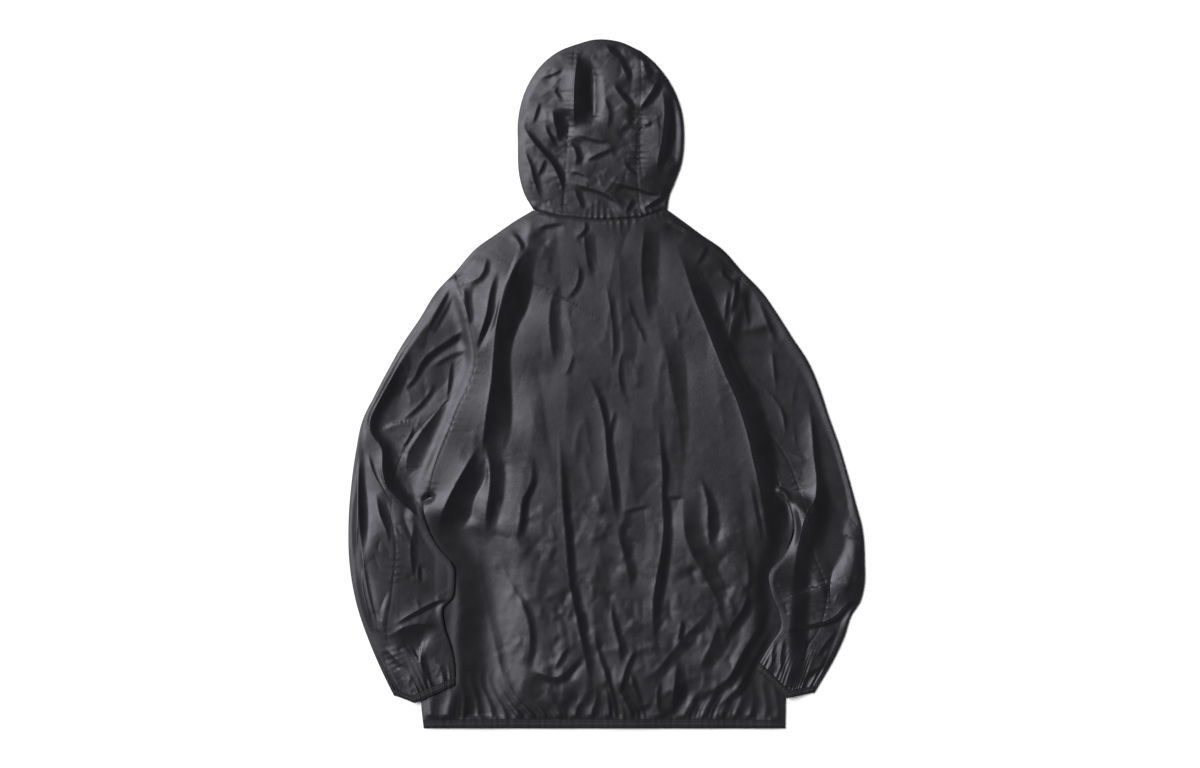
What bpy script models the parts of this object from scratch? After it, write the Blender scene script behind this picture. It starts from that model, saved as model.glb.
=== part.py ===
"""Sun protection jacket with a hood, laid flat on its front with its back showing.

Metres, +Z up. The jacket rests on z = 0, its hem is at -Y and its hood at +Y, and the origin
is under the middle of its outline. Sizes below are in millimetres, measured from the middle of
the hem, and become metres when a mesh is made. Left and right are those of the picture.
"""

from collections import namedtuple

import bmesh
import bpy
import numpy as np

METRES = 0.001
CENTRE = (2.3, 490.4)  # middle of the outline, seen from the middle of the hem

WALL = 1.2  # thickness of the cloth with its seam turnings
BINDING_WALL = 1.8  # folded elastic binding
BINDING = 12.0  # width of the bindings at the hem and the cuffs
LAID = 6.0  # height of two layers lying on each other
ROLL = LAID / 2  # radius of the cloth where it turns under at an edge
TURN_UNDER = 12.0  # cloth of the back that lies under the edge before it meets a front
SEAM = 0.4  # space left between two pieces at a seam
REST_GAP = 0.6  # forearm above the body that it lies on
ROLL_STEPS = 4

# Columns and rows of the panels
SHOULDER_STEPS, NECK_SIDE_STEPS, NECK_STEPS = 7, 2, 10
ARMHOLE_STEPS, SIDE_STEPS = 12, 9
SLEEVE_ROWS = 12
HOOD_ROWS, NECKLINE_STEPS, HOOD_CROWN_STEPS = 12, 5, 2

# Gathers along the elastic: points to a column, two to a wave
HEM_SPLIT, CUFF_SPLIT = 4, 2
HEM_GATHER_ROWS = (BINDING + SEAM, 26.0, 44.0)  # distance from the hem
GATHER_HEIGHT = 1.2
GATHER_BASE = 1.6
CUFF_GATHER = 30.0  # length of the gathers above a cuff's binding
CUFF_GATHER_HEIGHT = 0.8

# Lines in plan. arm_split is the armhole step where the sleeve's seam starts, and
# seam_at_cuff how far round the cuff it ends.
Outline = namedtuple(
    "Outline", "shoulder armhole side outer inner cuff seam seam_at_cuff arm_split neckline"
)
OUTLINES = {
    "left": Outline(
        shoulder=[(-102, 737), (-126, 723), (-155, 703), (-183, 683), (-213, 649)],
        armhole=[(-213, 649), (-192, 574), (-184, 528), (-215, 440), (-246, 354), (-250, 330)],
        side=[(-250, 330), (-248, 290), (-252, 220), (-260, 110), (-261, 27), (-258, 0)],
        outer=[(-213, 649), (-264, 582), (-308, 511), (-345, 440), (-361, 346), (-365, 261),
               (-354, 179), (-332, 115), (-300, 46)],
        inner=[(-250, 330), (-261, 308), (-251, 277), (-233, 250), (-215, 220), (-215, 192),
               (-228, 150), (-214, 98), (-213, 61)],
        cuff=[(-300, 46), (-283, 34), (-247, 50), (-213, 61)],
        seam=[(-224, 464), (-262, 428), (-292, 380), (-303, 319), (-297, 250), (-303, 190),
              (-310, 130)],
        seam_at_cuff=0.36,
        arm_split=6,
        neckline=[(-90, 722), (-72, 696), (-42, 668), (-6, 655)],
    ),
    "right": Outline(
        shoulder=[(88, 738), (109, 723), (136, 703), (165, 683), (196, 649)],
        armhole=[(196, 649), (180, 586), (172, 538), (208, 460), (244, 360), (250, 340)],
        side=[(250, 340), (246, 295), (249, 240), (256, 160), (258, 100), (256, 0)],
        outer=[(196, 649), (246, 588), (288, 523), (318, 444), (344, 365), (365, 285),
               (369, 215), (363, 183), (344, 141), (311, 70), (297, 50)],
        inner=[(250, 340), (263, 312), (267, 280), (252, 246), (233, 220), (240, 185),
               (245, 150), (228, 115), (214, 84)],
        cuff=[(297, 50), (285, 30), (250, 50), (214, 84)],
        seam=[(254, 392), (283, 320), (297, 250), (316, 190), (306, 145), (277, 100)],
        seam_at_cuff=0.48,
        arm_split=8,
        neckline=[(77, 723), (62, 697), (38, 668), (6, 655)],
    ),
}
NECK = [(-60, 727), (-7, 723), (51, 726)]  # hood seams at its two ends
NECK_END_TURN = {"left": (3.9, -1.0), "right": (-3.9, -1.0)}  # from the outline in to the seam
FRONT_EDGE = 5.0  # of a front, from the middle of the zip

HOOD_OUTLINE = {
    "left": [(-102, 738), (-115, 761), (-122, 800), (-124, 858), (-112, 910), (-87, 947),
             (-62, 965), (-44, 972)],
    "right": [(88, 738), (95, 765), (108, 802), (112, 845), (102, 899), (84, 931), (64, 953),
              (50, 964)],
}
HOOD_SEAM = {
    "left": [(-60, 727), (-56, 790), (-51, 858), (-46, 920), (-43, 969)],
    "right": [(51, 726), (46, 790), (48, 858), (52, 915), (50, 961)],
}
CROWN = [(-44, 972), (-14, 980), (20, 977), (50, 964)]
FACE_EDGE = {
    "left": [(-14, 658), (-20, 740), (-46, 830), (-58, 900), (-48, 934)],
    "right": [(14, 658), (20, 740), (44, 830), (58, 892), (52, 926)],
}
FACE_TOP = [(-48, 934), (-16, 942), (20, 940), (52, 926)]

# Folds: crest from (x0, y0) down to (x1, y1), its bow to +X, its fall to each side, its height
Fold = namedtuple("Fold", "x0 y0 x1 y1 bow left right height")
BODY_FOLDS = [
    Fold(-108, 722, -174, 420, -15, 34, 20, 17),  # left shoulder to the underarm
    Fold(-168, 450, -240, 240, 4, 26, 26, 12),
    Fold(92, 722, 148, 540, -8, 60, 24, 13),  # right shoulder to the underarm
    Fold(140, 585, 226, 345, -4, 60, 24, 15),
    Fold(215, 400, 240, 200, 2, 34, 14, 8),
    Fold(-10, 690, 16, 520, 12, 40, 30, 4),
    Fold(-52, 345, 0, 40, -14, 26, 13, 8),  # long creases down to the hem
    Fold(-180, 290, -132, 60, -8, 24, 14, 7),
    Fold(80, 370, 70, 110, 12, 24, 14, 7),
    Fold(116, 290, 158, 170, 6, 20, 14, 6),
    Fold(116, 140, 96, 40, -6, 20, 14, 6),
    Fold(-112, 240, -96, 70, 5, 20, 16, 4),
    Fold(180, 240, 170, 60, 14, 26, 16, 6),
    Fold(0, 690, 0, 590, 0, 40, 40, 8),  # the zip slider under the back
]
SLEEVE_FOLDS = {
    "left": [
        Fold(-236, 606, -300, 470, -4, 22, 18, 8),
        Fold(-196, 566, -268, 500, 6, 16, 16, 6),
        Fold(-190, 536, -270, 470, 0, 14, 14, 7),
        Fold(-262, 520, -318, 390, -6, 18, 16, 9),
        Fold(-330, 440, -344, 300, -6, 18, 16, 9),
        Fold(-276, 400, -282, 300, 8, 18, 18, 7),
        Fold(-318, 300, -330, 160, 4, 20, 18, 8),
        Fold(-262, 300, -240, 190, -8, 18, 16, 6),
        Fold(-300, 190, -262, 110, -6, 20, 16, 6),
    ],
    "right": [
        Fold(214, 612, 262, 500, 5, 20, 18, 7),
        Fold(196, 556, 246, 448, -4, 18, 16, 7),
        Fold(268, 530, 318, 380, 6, 16, 22, 10),
        Fold(262, 440, 280, 330, -4, 18, 18, 7),
        Fold(300, 360, 346, 230, 6, 22, 18, 9),
        Fold(276, 330, 284, 210, -6, 18, 14, 6),
        Fold(350, 180, 262, 138, -8, 14, 18, 8),
        Fold(300, 150, 262, 80, 5, 18, 16, 6),
    ],
}
HOOD_FOLDS = [
    Fold(-46, 968, -52, 850, 3, 34, 16, 9),  # beside the left seam
    Fold(-90, 900, -70, 790, 10, 26, 22, 8),
    Fold(0, 950, -4, 800, 6, 30, 30, 9),
    Fold(46, 930, 46, 800, -6, 22, 22, 8),
    Fold(84, 900, 86, 790, 6, 26, 16, 9),
    Fold(-92, 790, -60, 742, -4, 20, 18, 7),
    Fold(-52, 782, 30, 752, 6, 18, 16, 7),
    Fold(12, 776, 66, 744, 4, 16, 16, 6),
]
HOOD_RISE = 9.0  # the crown keeps some of its round form
HOOD_MIDDLE, HOOD_HALF, HOOD_LOW, HOOD_HIGH = -6.0, 122.0, 735.0, 982.0

# Zip: the tapes lie on the inner side of the fronts, which rise a little over the slider
TAPE_WIDTH, TAPE_WALL, TAPE_GAP = 12.0, 1.0, 0.35
TAPE_EDGE = 2.4  # from the middle of the zip
SLIDER_Y = 632.0
SLIDER_LIFT = 3.6
LIFT_ACROSS, LIFT_ALONG = 30.0, 54.0  # how far the lift reaches from the slider's pull
SLIDER_SIZE = (8.0, 11.0, 0.9)  # each of its two plates
PLATE_SPACE = 1.9  # between its plates
STRAP_WIDTH, STRAP_LENGTH, STRAP_WALL = 1.8, 8.0, 0.9
STRAP_SPACE = 1.9  # the pull's bar turns in it
PULL_LENGTH, PULL_WIDTH, PULL_WALL, PULL_ARM = 22.0, 6.4, 1.0, 1.4
WINDOW_LENGTH = 4.6
PULL_TILT = 5.4  # degrees that its free end hangs down, to lie on the ground

NYLON = (0.045, 0.045, 0.050, 1.0)
ELASTIC = (0.030, 0.030, 0.033, 1.0)
METAL = (0.06, 0.06, 0.065, 1.0)

PARTS = bpy.data.collections.new("sun_protection_jacket")


# ---------------------------------------------------------------- lines in plan


def even(line, count):
    """Points spaced evenly along a line of straight stretches."""
    line = np.asarray(line, float)
    reach = np.r_[0, np.cumsum(np.linalg.norm(np.diff(line, axis=0), axis=1))]
    return at_reach(line, reach, np.linspace(0, reach[-1], count))


def at_reach(line, reach, at):
    """Points of a line at some values of its running measure."""
    return np.stack([np.interp(at, reach, line[:, k]) for k in range(line.shape[1])], axis=1)


def rounded(points, count):
    """Points spaced evenly along a smooth line through the given ones."""
    points = np.asarray(points, float)
    reach = np.r_[0, np.cumsum(np.linalg.norm(np.diff(points, axis=0), axis=1))]
    slope = np.gradient(points, reach, axis=0)
    at = np.linspace(0, reach[-1], 600)
    i = np.clip(np.searchsorted(reach, at, side="right") - 1, 0, len(points) - 2)
    span = (reach[i + 1] - reach[i])[:, None]
    t = (at - reach[i])[:, None] / span
    line = (
        (2 * t**3 - 3 * t**2 + 1) * points[i]
        + (t**3 - 2 * t**2 + t) * span * slope[i]
        + (3 * t**2 - 2 * t**3) * points[i + 1]
        + (t**3 - t**2) * span * slope[i + 1]
    )
    return even(line, count)


def unit(vectors):
    return vectors / np.linalg.norm(vectors, axis=-1, keepdims=True)


def inward(line, sign):
    """Unit vectors square to a line: to the right of its direction for sign 1."""
    way = unit(np.gradient(np.asarray(line, float), axis=0))
    return sign * np.stack([way[:, 1], -way[:, 0]], axis=1)


def patch(left, right, bottom, top, across, up):
    """Plan points between four border lines. left and right have a point for each value in
    up, bottom and top one for each value in across."""
    u, v = np.asarray(across)[None, :, None], np.asarray(up)[:, None, None]
    sides = (1 - u) * left[:, None] + u * right[:, None]
    ends = (1 - v) * bottom[None] + v * top[None]
    low_corners = (1 - u) * bottom[0] + u * bottom[-1]
    high_corners = (1 - u) * top[0] + u * top[-1]
    return sides + ends - (1 - v) * low_corners - v * high_corners


def ease(value):
    """Smooth step from 0 to 1."""
    value = np.clip(value, 0, 1)
    return value * value * (3 - 2 * value)


# ---------------------------------------------------------------- heights


def folds(rows, x, y):
    """Height that a table of folds adds at each point."""
    total = np.zeros(np.shape(x))
    for fold in rows:
        dx, dy = fold.x1 - fold.x0, fold.y1 - fold.y0
        length = np.hypot(dx, dy)
        along = ((x - fold.x0) * dx + (y - fold.y0) * dy) / length**2
        held = np.clip(along, 0, 1)
        bowed = fold.bow * 4 * held * (1 - held)
        off = ((y - fold.y0) * dx - (x - fold.x0) * dy) / length - bowed
        width = np.where(off < 0, fold.left, fold.right)
        ends = ease(along / 0.25) * ease((1 - along) / 0.25)
        total += fold.height * ends * np.exp(-((off / width) ** 2))
    return total


def nearness(line, x, y, reach):
    """1 on a line, falling to 0 over a few times reach."""
    gap = np.full(np.shape(x), np.inf)
    for px, py in even(line, 60):
        gap = np.minimum(gap, np.hypot(x - px, y - py))
    return np.exp(-((gap / reach) ** 2))


def side_x(side, y):
    """Where the body's side edge is at a distance y from the hem."""
    line = rounded(OUTLINES[side].side, 60)[::-1]
    return np.interp(y, line[:, 1], line[:, 0])


def rest_height(side, x, y):
    """Height of what a sleeve lies on: the body below the underarm, else the ground."""
    sign = -1 if side == "left" else 1
    outside = sign * (x - side_x(side, y))
    underarm = OUTLINES[side].side[0][1]
    return (LAID + REST_GAP) * ease((32 - outside) / 30) * ease((underarm + 2 - y) / 34)


def forearm_cover(x, y):
    """1 where a forearm lies on the body, which is flat there."""
    return ease((np.abs(x) - 188) / 24) * ease((310 - y) / 30)


def body_height(x, y):
    return LAID + folds(BODY_FOLDS, x, y) * (1 - forearm_cover(x, y))


def sleeve_height(side, x, y):
    """Top of a sleeve. It takes the body's height at the armhole."""
    near = nearness(OUTLINES[side].armhole, x, y, 16)
    own = folds(SLEEVE_FOLDS[side], x, y)
    shared = folds(BODY_FOLDS, x, y)
    return rest_height(side, x, y) + LAID + own * (1 - near) + shared * near


def hood_height(x, y):
    """Top of the hood: a low dome with its folds, level with the body at the neck."""
    near = ease((758 - y) / 34)
    across = np.clip(1 - ((x - HOOD_MIDDLE) / HOOD_HALF) ** 2, 0, 1)
    along = np.clip((y - HOOD_LOW) / 60, 0, 1) * np.clip((HOOD_HIGH - y) / 60, 0, 1)
    own = folds(HOOD_FOLDS, x, y) + HOOD_RISE * across * along
    return LAID + own * (1 - near) + folds(BODY_FOLDS, x, y) * near


def front_height(x, y):
    """Outer side of a front: on the ground, but raised round the zip slider."""
    across = ease((LIFT_ACROSS - np.abs(x)) / 18)
    along = ease((LIFT_ALONG - np.abs(y - SLIDER_Y + PULL_LENGTH / 2)) / 16)
    return SLIDER_LIFT * across * along


def waves(count, base, height, fade_over):
    """Small waves that elastic draws up, two points to a wave, none at the two ends."""
    number = np.arange(count)
    wave = np.where(number % 2 == 0, -1.0, 1.0) * (1 + 0.35 * np.sin(number * 2.3))
    fade = ease(np.minimum(number, count - 1 - number) / fade_over)
    return (base + height * wave) * fade


# ---------------------------------------------------------------- cloth


def with_height(plan, height):
    height = np.broadcast_to(height, plan.shape[:-1])[..., None]
    return np.concatenate([plan, height], axis=-1)


def turned_edge(inner, turn, base):
    """Points over an edge where cloth turns under, from the top layer to the bottom one.
    inner is where the turn starts, in plan, and turn the way out from there to the edge."""
    angle = np.linspace(0, np.pi, ROLL_STEPS + 1)[None, :, None]
    plan = inner[:, None] + np.sin(angle) * turn[:, None]
    height = base[:, None] + ROLL + ROLL * np.cos(angle[..., 0])
    return with_height(plan, height)


class Cloth:
    """An open surface put together from grids of points, given its wall by Solidify."""

    def __init__(self):
        self.mesh = bmesh.new()

    def verts(self, points):
        place = (np.asarray(points, float) - (*CENTRE, 0)) * METRES
        return [self.mesh.verts.new(p) for p in place]

    def grid(self, points, ring=False):
        rows = [self.verts(row) for row in points]
        for low, high in zip(rows, rows[1:]):
            if ring:
                low, high = low + low[:1], high + high[:1]
            for j in range(len(low) - 1):
                self.mesh.faces.new((low[j], low[j + 1], high[j + 1], high[j]))

    def join_rows(self, fine, coarse):
        """Faces between a row of gathers and a plain row with fewer points."""
        low, high = self.verts(fine), self.verts(coarse)
        split = (len(low) - 1) // (len(high) - 1)
        middle = split // 2
        for j in range(len(high) - 1):
            for k in range(split):
                corner = high[j] if k < middle else high[j + 1]
                self.mesh.faces.new((low[j * split + k], low[j * split + k + 1], corner))
            self.mesh.faces.new((low[j * split + middle], high[j + 1], high[j]))

    def make(self, name, material, wall=WALL, faces_down=False):
        """Ends the surface: welds its grids, turns its faces out and adds the wall."""
        bmesh.ops.remove_doubles(self.mesh, verts=self.mesh.verts, dist=1e-5)
        bmesh.ops.recalc_face_normals(self.mesh, faces=self.mesh.faces)
        highest = max(self.mesh.faces, key=lambda f: f.calc_center_median().z * f.normal.z**2)
        if (highest.normal.z < 0) != faces_down:
            bmesh.ops.reverse_faces(self.mesh, faces=self.mesh.faces)
        data = bpy.data.meshes.new(name)
        self.mesh.to_mesh(data)
        self.mesh.free()
        data.shade_smooth()
        piece = add_object(name, data, material)
        solid = piece.modifiers.new("Wall", "SOLIDIFY")
        solid.thickness = wall * METRES
        solid.offset = -1.0
        return piece


def add_object(name, data, material):
    piece = bpy.data.objects.new(name, data)
    data.materials.clear()
    data.materials.append(material)
    PARTS.objects.link(piece)
    return piece


def make_material(name, colour, roughness, metallic=0.0):
    material = bpy.data.materials.new(name)
    material.use_nodes = True
    shader = material.node_tree.nodes["Principled BSDF"]
    shader.inputs["Base Color"].default_value = colour
    shader.inputs["Roughness"].default_value = roughness
    shader.inputs["Metallic"].default_value = metallic
    material.diffuse_color = colour
    return material


# ---------------------------------------------------------------- shared seams


def shoulder_turn(side):
    """Way out from the top of the armhole seam to the shoulder's edge."""
    line = rounded(OUTLINES[side].armhole, 400)
    along = unit(line[20] - line[0])
    square = inward(rounded(OUTLINES[side].shoulder, 60), -1 if side == "left" else 1)[-1]
    return -along * ROLL / abs(along @ square)


def armhole_line(side):
    """The armhole seam from the shoulder to the underarm, inside the turned edges."""
    line = rounded(OUTLINES[side].armhole, 400)
    start = line[0] - shoulder_turn(side)
    keep = line[line[:, 1] < start[1]]
    return even(np.vstack([start, keep]), ARMHOLE_STEPS + 1)


def neck_line():
    """The neck seam from left to right, inside the turned edges."""
    left = np.add(OUTLINES["left"].shoulder[0], NECK_END_TURN["left"])
    right = np.add(OUTLINES["right"].shoulder[0], NECK_END_TURN["right"])
    first = even([left, NECK[0]], NECK_SIDE_STEPS + 1)
    middle = rounded(NECK, NECK_STEPS + 1)
    last = even([NECK[-1], right], NECK_SIDE_STEPS + 1)
    return np.vstack([first[:-1], middle, last[1:]])


def neckline(side):
    """The seam of a front and the hood, from the side of the neck to the zip."""
    start = np.add(OUTLINES[side].shoulder[0], NECK_END_TURN[side])
    return rounded([start, *OUTLINES[side].neckline], NECKLINE_STEPS + 1)


def along_first(line, distance):
    """Point at a distance along the first stretch of a line."""
    return line[0] + unit(line[1] - line[0]) * distance


# ---------------------------------------------------------------- body


class Body:
    """Border lines and rows that the back, the fronts and their bindings share.

    Its rows run from the hem to the shoulder: two of binding, three of gathers, plain ones.
    """

    gather_rows = np.arange(2, 2 + len(HEM_GATHER_ROWS))
    underarm_row = 1 + len(HEM_GATHER_ROWS) + SIDE_STEPS
    count = underarm_row + ARMHOLE_STEPS + 1

    def __init__(self):
        self.columns = 2 * SHOULDER_STEPS + 2 * NECK_SIDE_STEPS + NECK_STEPS
        self.across = np.linspace(0, 1, self.columns + 1)
        self.plan = {side: self.side_points(side) for side in OUTLINES}
        height = self.plan["left"][0][:, 1] / 2 + self.plan["right"][0][:, 1] / 2
        self.up = (height - height[0]) / (height[-1] - height[0])
        left, right = (self.shoulder_points(side)[0] for side in OUTLINES)
        self.top = np.vstack([left[::-1][:-1], neck_line(), right[1:]])

    def side_points(self, side):
        """Start of the turned edge or the seam for each row, and the turn there."""
        edge = rounded(OUTLINES[side].side, 400)[::-1]
        reach = np.r_[0, np.cumsum(np.linalg.norm(np.diff(edge, axis=0), axis=1))]
        plain = np.linspace(HEM_GATHER_ROWS[-1] + 18, reach[-1], SIDE_STEPS)
        edge = at_reach(edge, reach, [0, BINDING, *HEM_GATHER_ROWS, *plain])
        way_in = inward(edge, 1 if side == "left" else -1) * ROLL
        points = np.vstack([edge + way_in, armhole_line(side)[::-1][1:]])
        turns = np.vstack([-way_in, np.zeros((ARMHOLE_STEPS, 2))])
        return points, turns

    def shoulder_points(self, side):
        """Start of the shoulder's turned edge, from the neck to the armhole, and its turn."""
        line = rounded(OUTLINES[side].shoulder, SHOULDER_STEPS + 1)
        way_in = inward(line, -1 if side == "left" else 1) * ROLL
        way_in[0] = NECK_END_TURN[side]
        way_in[-1] = -shoulder_turn(side)
        return line + way_in, -way_in

    def rows(self, rows, split=1):
        """Plan points of the top layer for some rows, with split times the columns."""
        across = np.linspace(0, 1, self.columns * split + 1)
        left, right = self.plan["left"][0], self.plan["right"][0]
        bottom = even([left[0], right[0]], len(across))
        top = at_reach(self.top, self.across, across)
        return patch(left[rows], right[rows], bottom, top, across, self.up[rows])

    def seam_width(self, side):
        """Cloth of the back under its side edge for each row, and the way in from the edge."""
        points, turns = self.plan[side]
        width = 1 + (TURN_UNDER - 1) * ease((points[self.underarm_row, 1] - points[:, 1]) / 60)
        length = np.maximum(np.linalg.norm(turns, axis=1), 1e-9)[:, None]
        return width[:, None], -turns / length

    def side_strip(self, side, rows):
        """The turned edge and the cloth under it, below the underarm."""
        points, turns = self.plan[side]
        width, way_in = self.seam_width(side)
        roll = turned_edge(points[rows], turns[rows], np.zeros(len(rows)))
        end = (points + way_in * width)[rows]
        return np.concatenate([roll, with_height(end, 0)[:, None]], axis=1)

    def shoulder_seam(self, side, space=0.0):
        """Where the cloth turned under the shoulder meets the front."""
        points, turns = self.shoulder_points(side)
        width = TURN_UNDER - ROLL + space
        end = points - unit(turns) * width
        end[0] = along_first(neckline(side), width)
        end[-1] = along_first(armhole_line(side), width)
        return end

    def shoulder_strip(self, side):
        """The turned edge of the shoulder and the cloth under it."""
        points, turns = self.shoulder_points(side)
        roll = turned_edge(points, turns, np.zeros(len(points)))
        return np.concatenate([roll, with_height(self.shoulder_seam(side), 0)[:, None]], axis=1)

    def hem_waves(self, plan, strength):
        """Gathers of some rows, none where a forearm lies on them."""
        covered = forearm_cover(plan[..., 0], plan[..., 1]) * ease((plan[..., 1] - 28) / 14)
        rise = waves(plan.shape[1], GATHER_BASE, GATHER_HEIGHT, HEM_SPLIT)
        return rise[None] * np.asarray(strength)[:, None] * (1 - covered)


def make_back(body, material):
    cloth = Cloth()
    fine = body.rows(body.gather_rows, HEM_SPLIT)
    height = body_height(fine[..., 0], fine[..., 1]) + body.hem_waves(fine, (0.8, 1.0, 0.55))
    height[:, (0, -1)] = LAID
    fine = with_height(fine, height)
    plain_rows = np.arange(body.gather_rows[-1] + 1, body.count)
    coarse = body.rows(plain_rows)
    height = body_height(coarse[..., 0], coarse[..., 1])
    beside_edge = np.flatnonzero(plain_rows <= body.underarm_row)
    height[np.ix_(beside_edge, (0, -1))] = LAID
    height[-1, : SHOULDER_STEPS + 1] = LAID
    height[-1, -SHOULDER_STEPS - 1 :] = LAID
    coarse = with_height(coarse, height)
    cloth.grid(fine)
    cloth.join_rows(fine[-1], coarse[0])
    cloth.grid(coarse)
    for side in OUTLINES:
        cloth.grid(body.side_strip(side, np.arange(body.gather_rows[0], body.underarm_row + 1)))
        cloth.grid(body.shoulder_strip(side))
    return cloth.make("back_panel", material)


def make_hem_binding(body, material):
    """Elastic binding across the back and round its turned side edges."""
    cloth = Cloth()
    rows = np.arange(2)
    band = body.rows(rows, HEM_SPLIT)
    height = body_height(band[..., 0], band[..., 1]) + body.hem_waves(band, (0.35, 0.6))
    height[:, (0, -1)] = LAID
    cloth.grid(with_height(band, height))
    for side in OUTLINES:
        cloth.grid(body.side_strip(side, rows))
    return cloth.make("hem_binding_back", material, BINDING_WALL)


def front_plan(body, side):
    """Plan points of a front for every row, from its side seam to the zip."""
    points = body.plan[side][0]
    width, way_in = body.seam_width(side)
    outer = points + way_in * (width + SEAM)
    shoulder = body.shoulder_seam(side, SEAM)
    outer[-1] = shoulder[-1]
    neck = neckline(side)
    neck[:, 1] -= SEAM
    shoulder[0, 1] -= SEAM
    top = np.vstack([shoulder[::-1], neck[1:]])
    shoulder_share = 0.55
    across = np.r_[
        np.linspace(0, shoulder_share, SHOULDER_STEPS + 1),
        np.linspace(shoulder_share, 1, NECKLINE_STEPS + 1)[1:],
    ]
    up = (outer[:, 1] - outer[0, 1]) / (outer[-1, 1] - outer[0, 1])
    zip_foot = np.array([neck[-1, 0], outer[0, 1]])
    zip_side = zip_foot + (neck[-1] - zip_foot) * up[:, None]
    bottom = outer[0] + (zip_side[0] - outer[0]) * across[:, None]
    return patch(outer, zip_side, bottom, top, across, up)


def make_front(plan, side, material):
    cloth = Cloth()
    plan = plan[2:]
    cloth.grid(with_height(plan, front_height(plan[..., 0], plan[..., 1])))
    return cloth.make(f"front_{side}", material, faces_down=True)


def make_front_binding(plan, side, material):
    cloth = Cloth()
    cloth.grid(with_height(plan[:2], 0.0))
    return cloth.make(f"hem_binding_{side}", material, BINDING_WALL, faces_down=True)


# ---------------------------------------------------------------- sleeves


class Sleeve:
    """One sleeve laid flat: an upper panel outside its seam and an under panel inside it.

    Its rows run from the armhole to the cuff: the plain ones, two of gathers, two of binding.
    """

    gather_rows = np.array([SLEEVE_ROWS + 1, SLEEVE_ROWS + 2])
    binding_rows = np.array([SLEEVE_ROWS + 3, SLEEVE_ROWS + 4])

    def __init__(self, side):
        lines = OUTLINES[side]
        self.side = side
        self.sign = 1 if side == "left" else -1
        arm = armhole_line(side)
        cuff = rounded(lines.cuff, 200)
        cuff_point = cuff[int(lines.seam_at_cuff * 199)]
        self.seam, self.up = self.stations([arm[lines.arm_split], *lines.seam, cuff_point])
        upper = self.edge(lines.outer, -self.sign, -shoulder_turn(side))
        under = self.edge(lines.inner, self.sign, np.array([-self.sign * ROLL, 0.0]))
        self.edges = {"upper": upper, "under": under}
        self.arm = {"upper": arm[: lines.arm_split + 1], "under": arm[lines.arm_split :][::-1]}

    def stations(self, points):
        """A point of the line for each row, and how far along each row is, from 0 to 1."""
        line = rounded(points, 500)
        reach = np.r_[0, np.cumsum(np.linalg.norm(np.diff(line, axis=0), axis=1))]
        end = reach[-1]
        panel_end = end - BINDING - 2.3 * SEAM
        plain = np.linspace(0, panel_end - CUFF_GATHER, SLEEVE_ROWS + 1)
        at = np.r_[plain, panel_end - CUFF_GATHER * 0.4, panel_end, end - BINDING, end]
        return at_reach(line, reach, at), at / end

    def edge(self, points, turn_sign, first_turn):
        """Starts of a turned edge for each row, with the turn out to the outline."""
        line = self.stations(points)[0]
        way_in = inward(line, turn_sign) * ROLL
        way_in[0] = first_turn
        return line + way_in, -way_in

    def panel(self, name, rows, split=1):
        """Plan points of one panel for some rows, from its turned edge to the seam."""
        edge = self.edges[name][0]
        arm = np.vstack([edge[:1], self.arm[name][1:]])
        across = np.linspace(0, 1, len(arm))
        finer = np.linspace(0, 1, (len(arm) - 1) * split + 1)
        cuff = edge[-1] + (self.seam[-1] - edge[-1]) * finer[:, None]
        arm = at_reach(arm, across, finer)
        return patch(edge[rows], self.seam[rows], arm, cuff, finer, self.up[rows])

    def top(self, name, rows, split=1, gathers=0.0):
        """Top layer of a panel."""
        plan = self.panel(name, rows, split)
        height = sleeve_height(self.side, plan[..., 0], plan[..., 1])
        height += gathers * waves(plan.shape[1], GATHER_BASE * 0.8, CUFF_GATHER_HEIGHT, 3)
        height[:, 0] = self.rest(plan[:, 0]) + LAID
        return with_height(plan, height)

    def roll(self, name, rows):
        points, turns = self.edges[name]
        return turned_edge(points[rows], turns[rows], self.rest(points)[rows])

    def underside(self, name, rows):
        plan = self.panel(name, rows)
        return with_height(plan, self.rest(plan))

    def rest(self, plan):
        return rest_height(self.side, plan[..., 0], plan[..., 1])


def make_sleeve_panel(sleeve, name, material):
    """Upper or under panel, moved off its neighbours by the seam's space."""
    cloth = Cloth()
    shift = (-sleeve.sign * SEAM * (2.8 if name == "upper" else 1), 0, 0)
    every = np.arange(SLEEVE_ROWS + 3)
    coarse = sleeve.top(name, every[: SLEEVE_ROWS + 1]) + shift
    fine = sleeve.top(name, sleeve.gather_rows, CUFF_SPLIT, 1.0) + shift
    cloth.grid(coarse)
    cloth.join_rows(fine[0], coarse[-1])
    cloth.grid(fine)
    cloth.grid(sleeve.roll(name, every) + shift)
    cloth.grid(sleeve.underside(name, every) + shift)
    return cloth.make(f"sleeve_{sleeve.side}_{name}", material)


def make_cuff_binding(sleeve, material):
    """Elastic binding all round the cuff."""
    rows = sleeve.binding_rows
    around = []
    for name in ("under", "upper"):
        top = sleeve.top(name, rows, CUFF_SPLIT, 0.6)
        layers = [top[:, ::-1], sleeve.roll(name, rows)[:, 1:-1], sleeve.underside(name, rows)]
        ring = np.concatenate(layers, axis=1)
        around.append(ring if name == "under" else ring[:, ::-1])
    points = np.concatenate([around[0][:, :-1], around[1][:, :-1]], axis=1)
    points[..., 0] -= sleeve.sign * SEAM * 1.6
    cloth = Cloth()
    cloth.grid(points, ring=True)
    return cloth.make(f"cuff_binding_{sleeve.side}", material, BINDING_WALL)


# ---------------------------------------------------------------- hood


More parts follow.
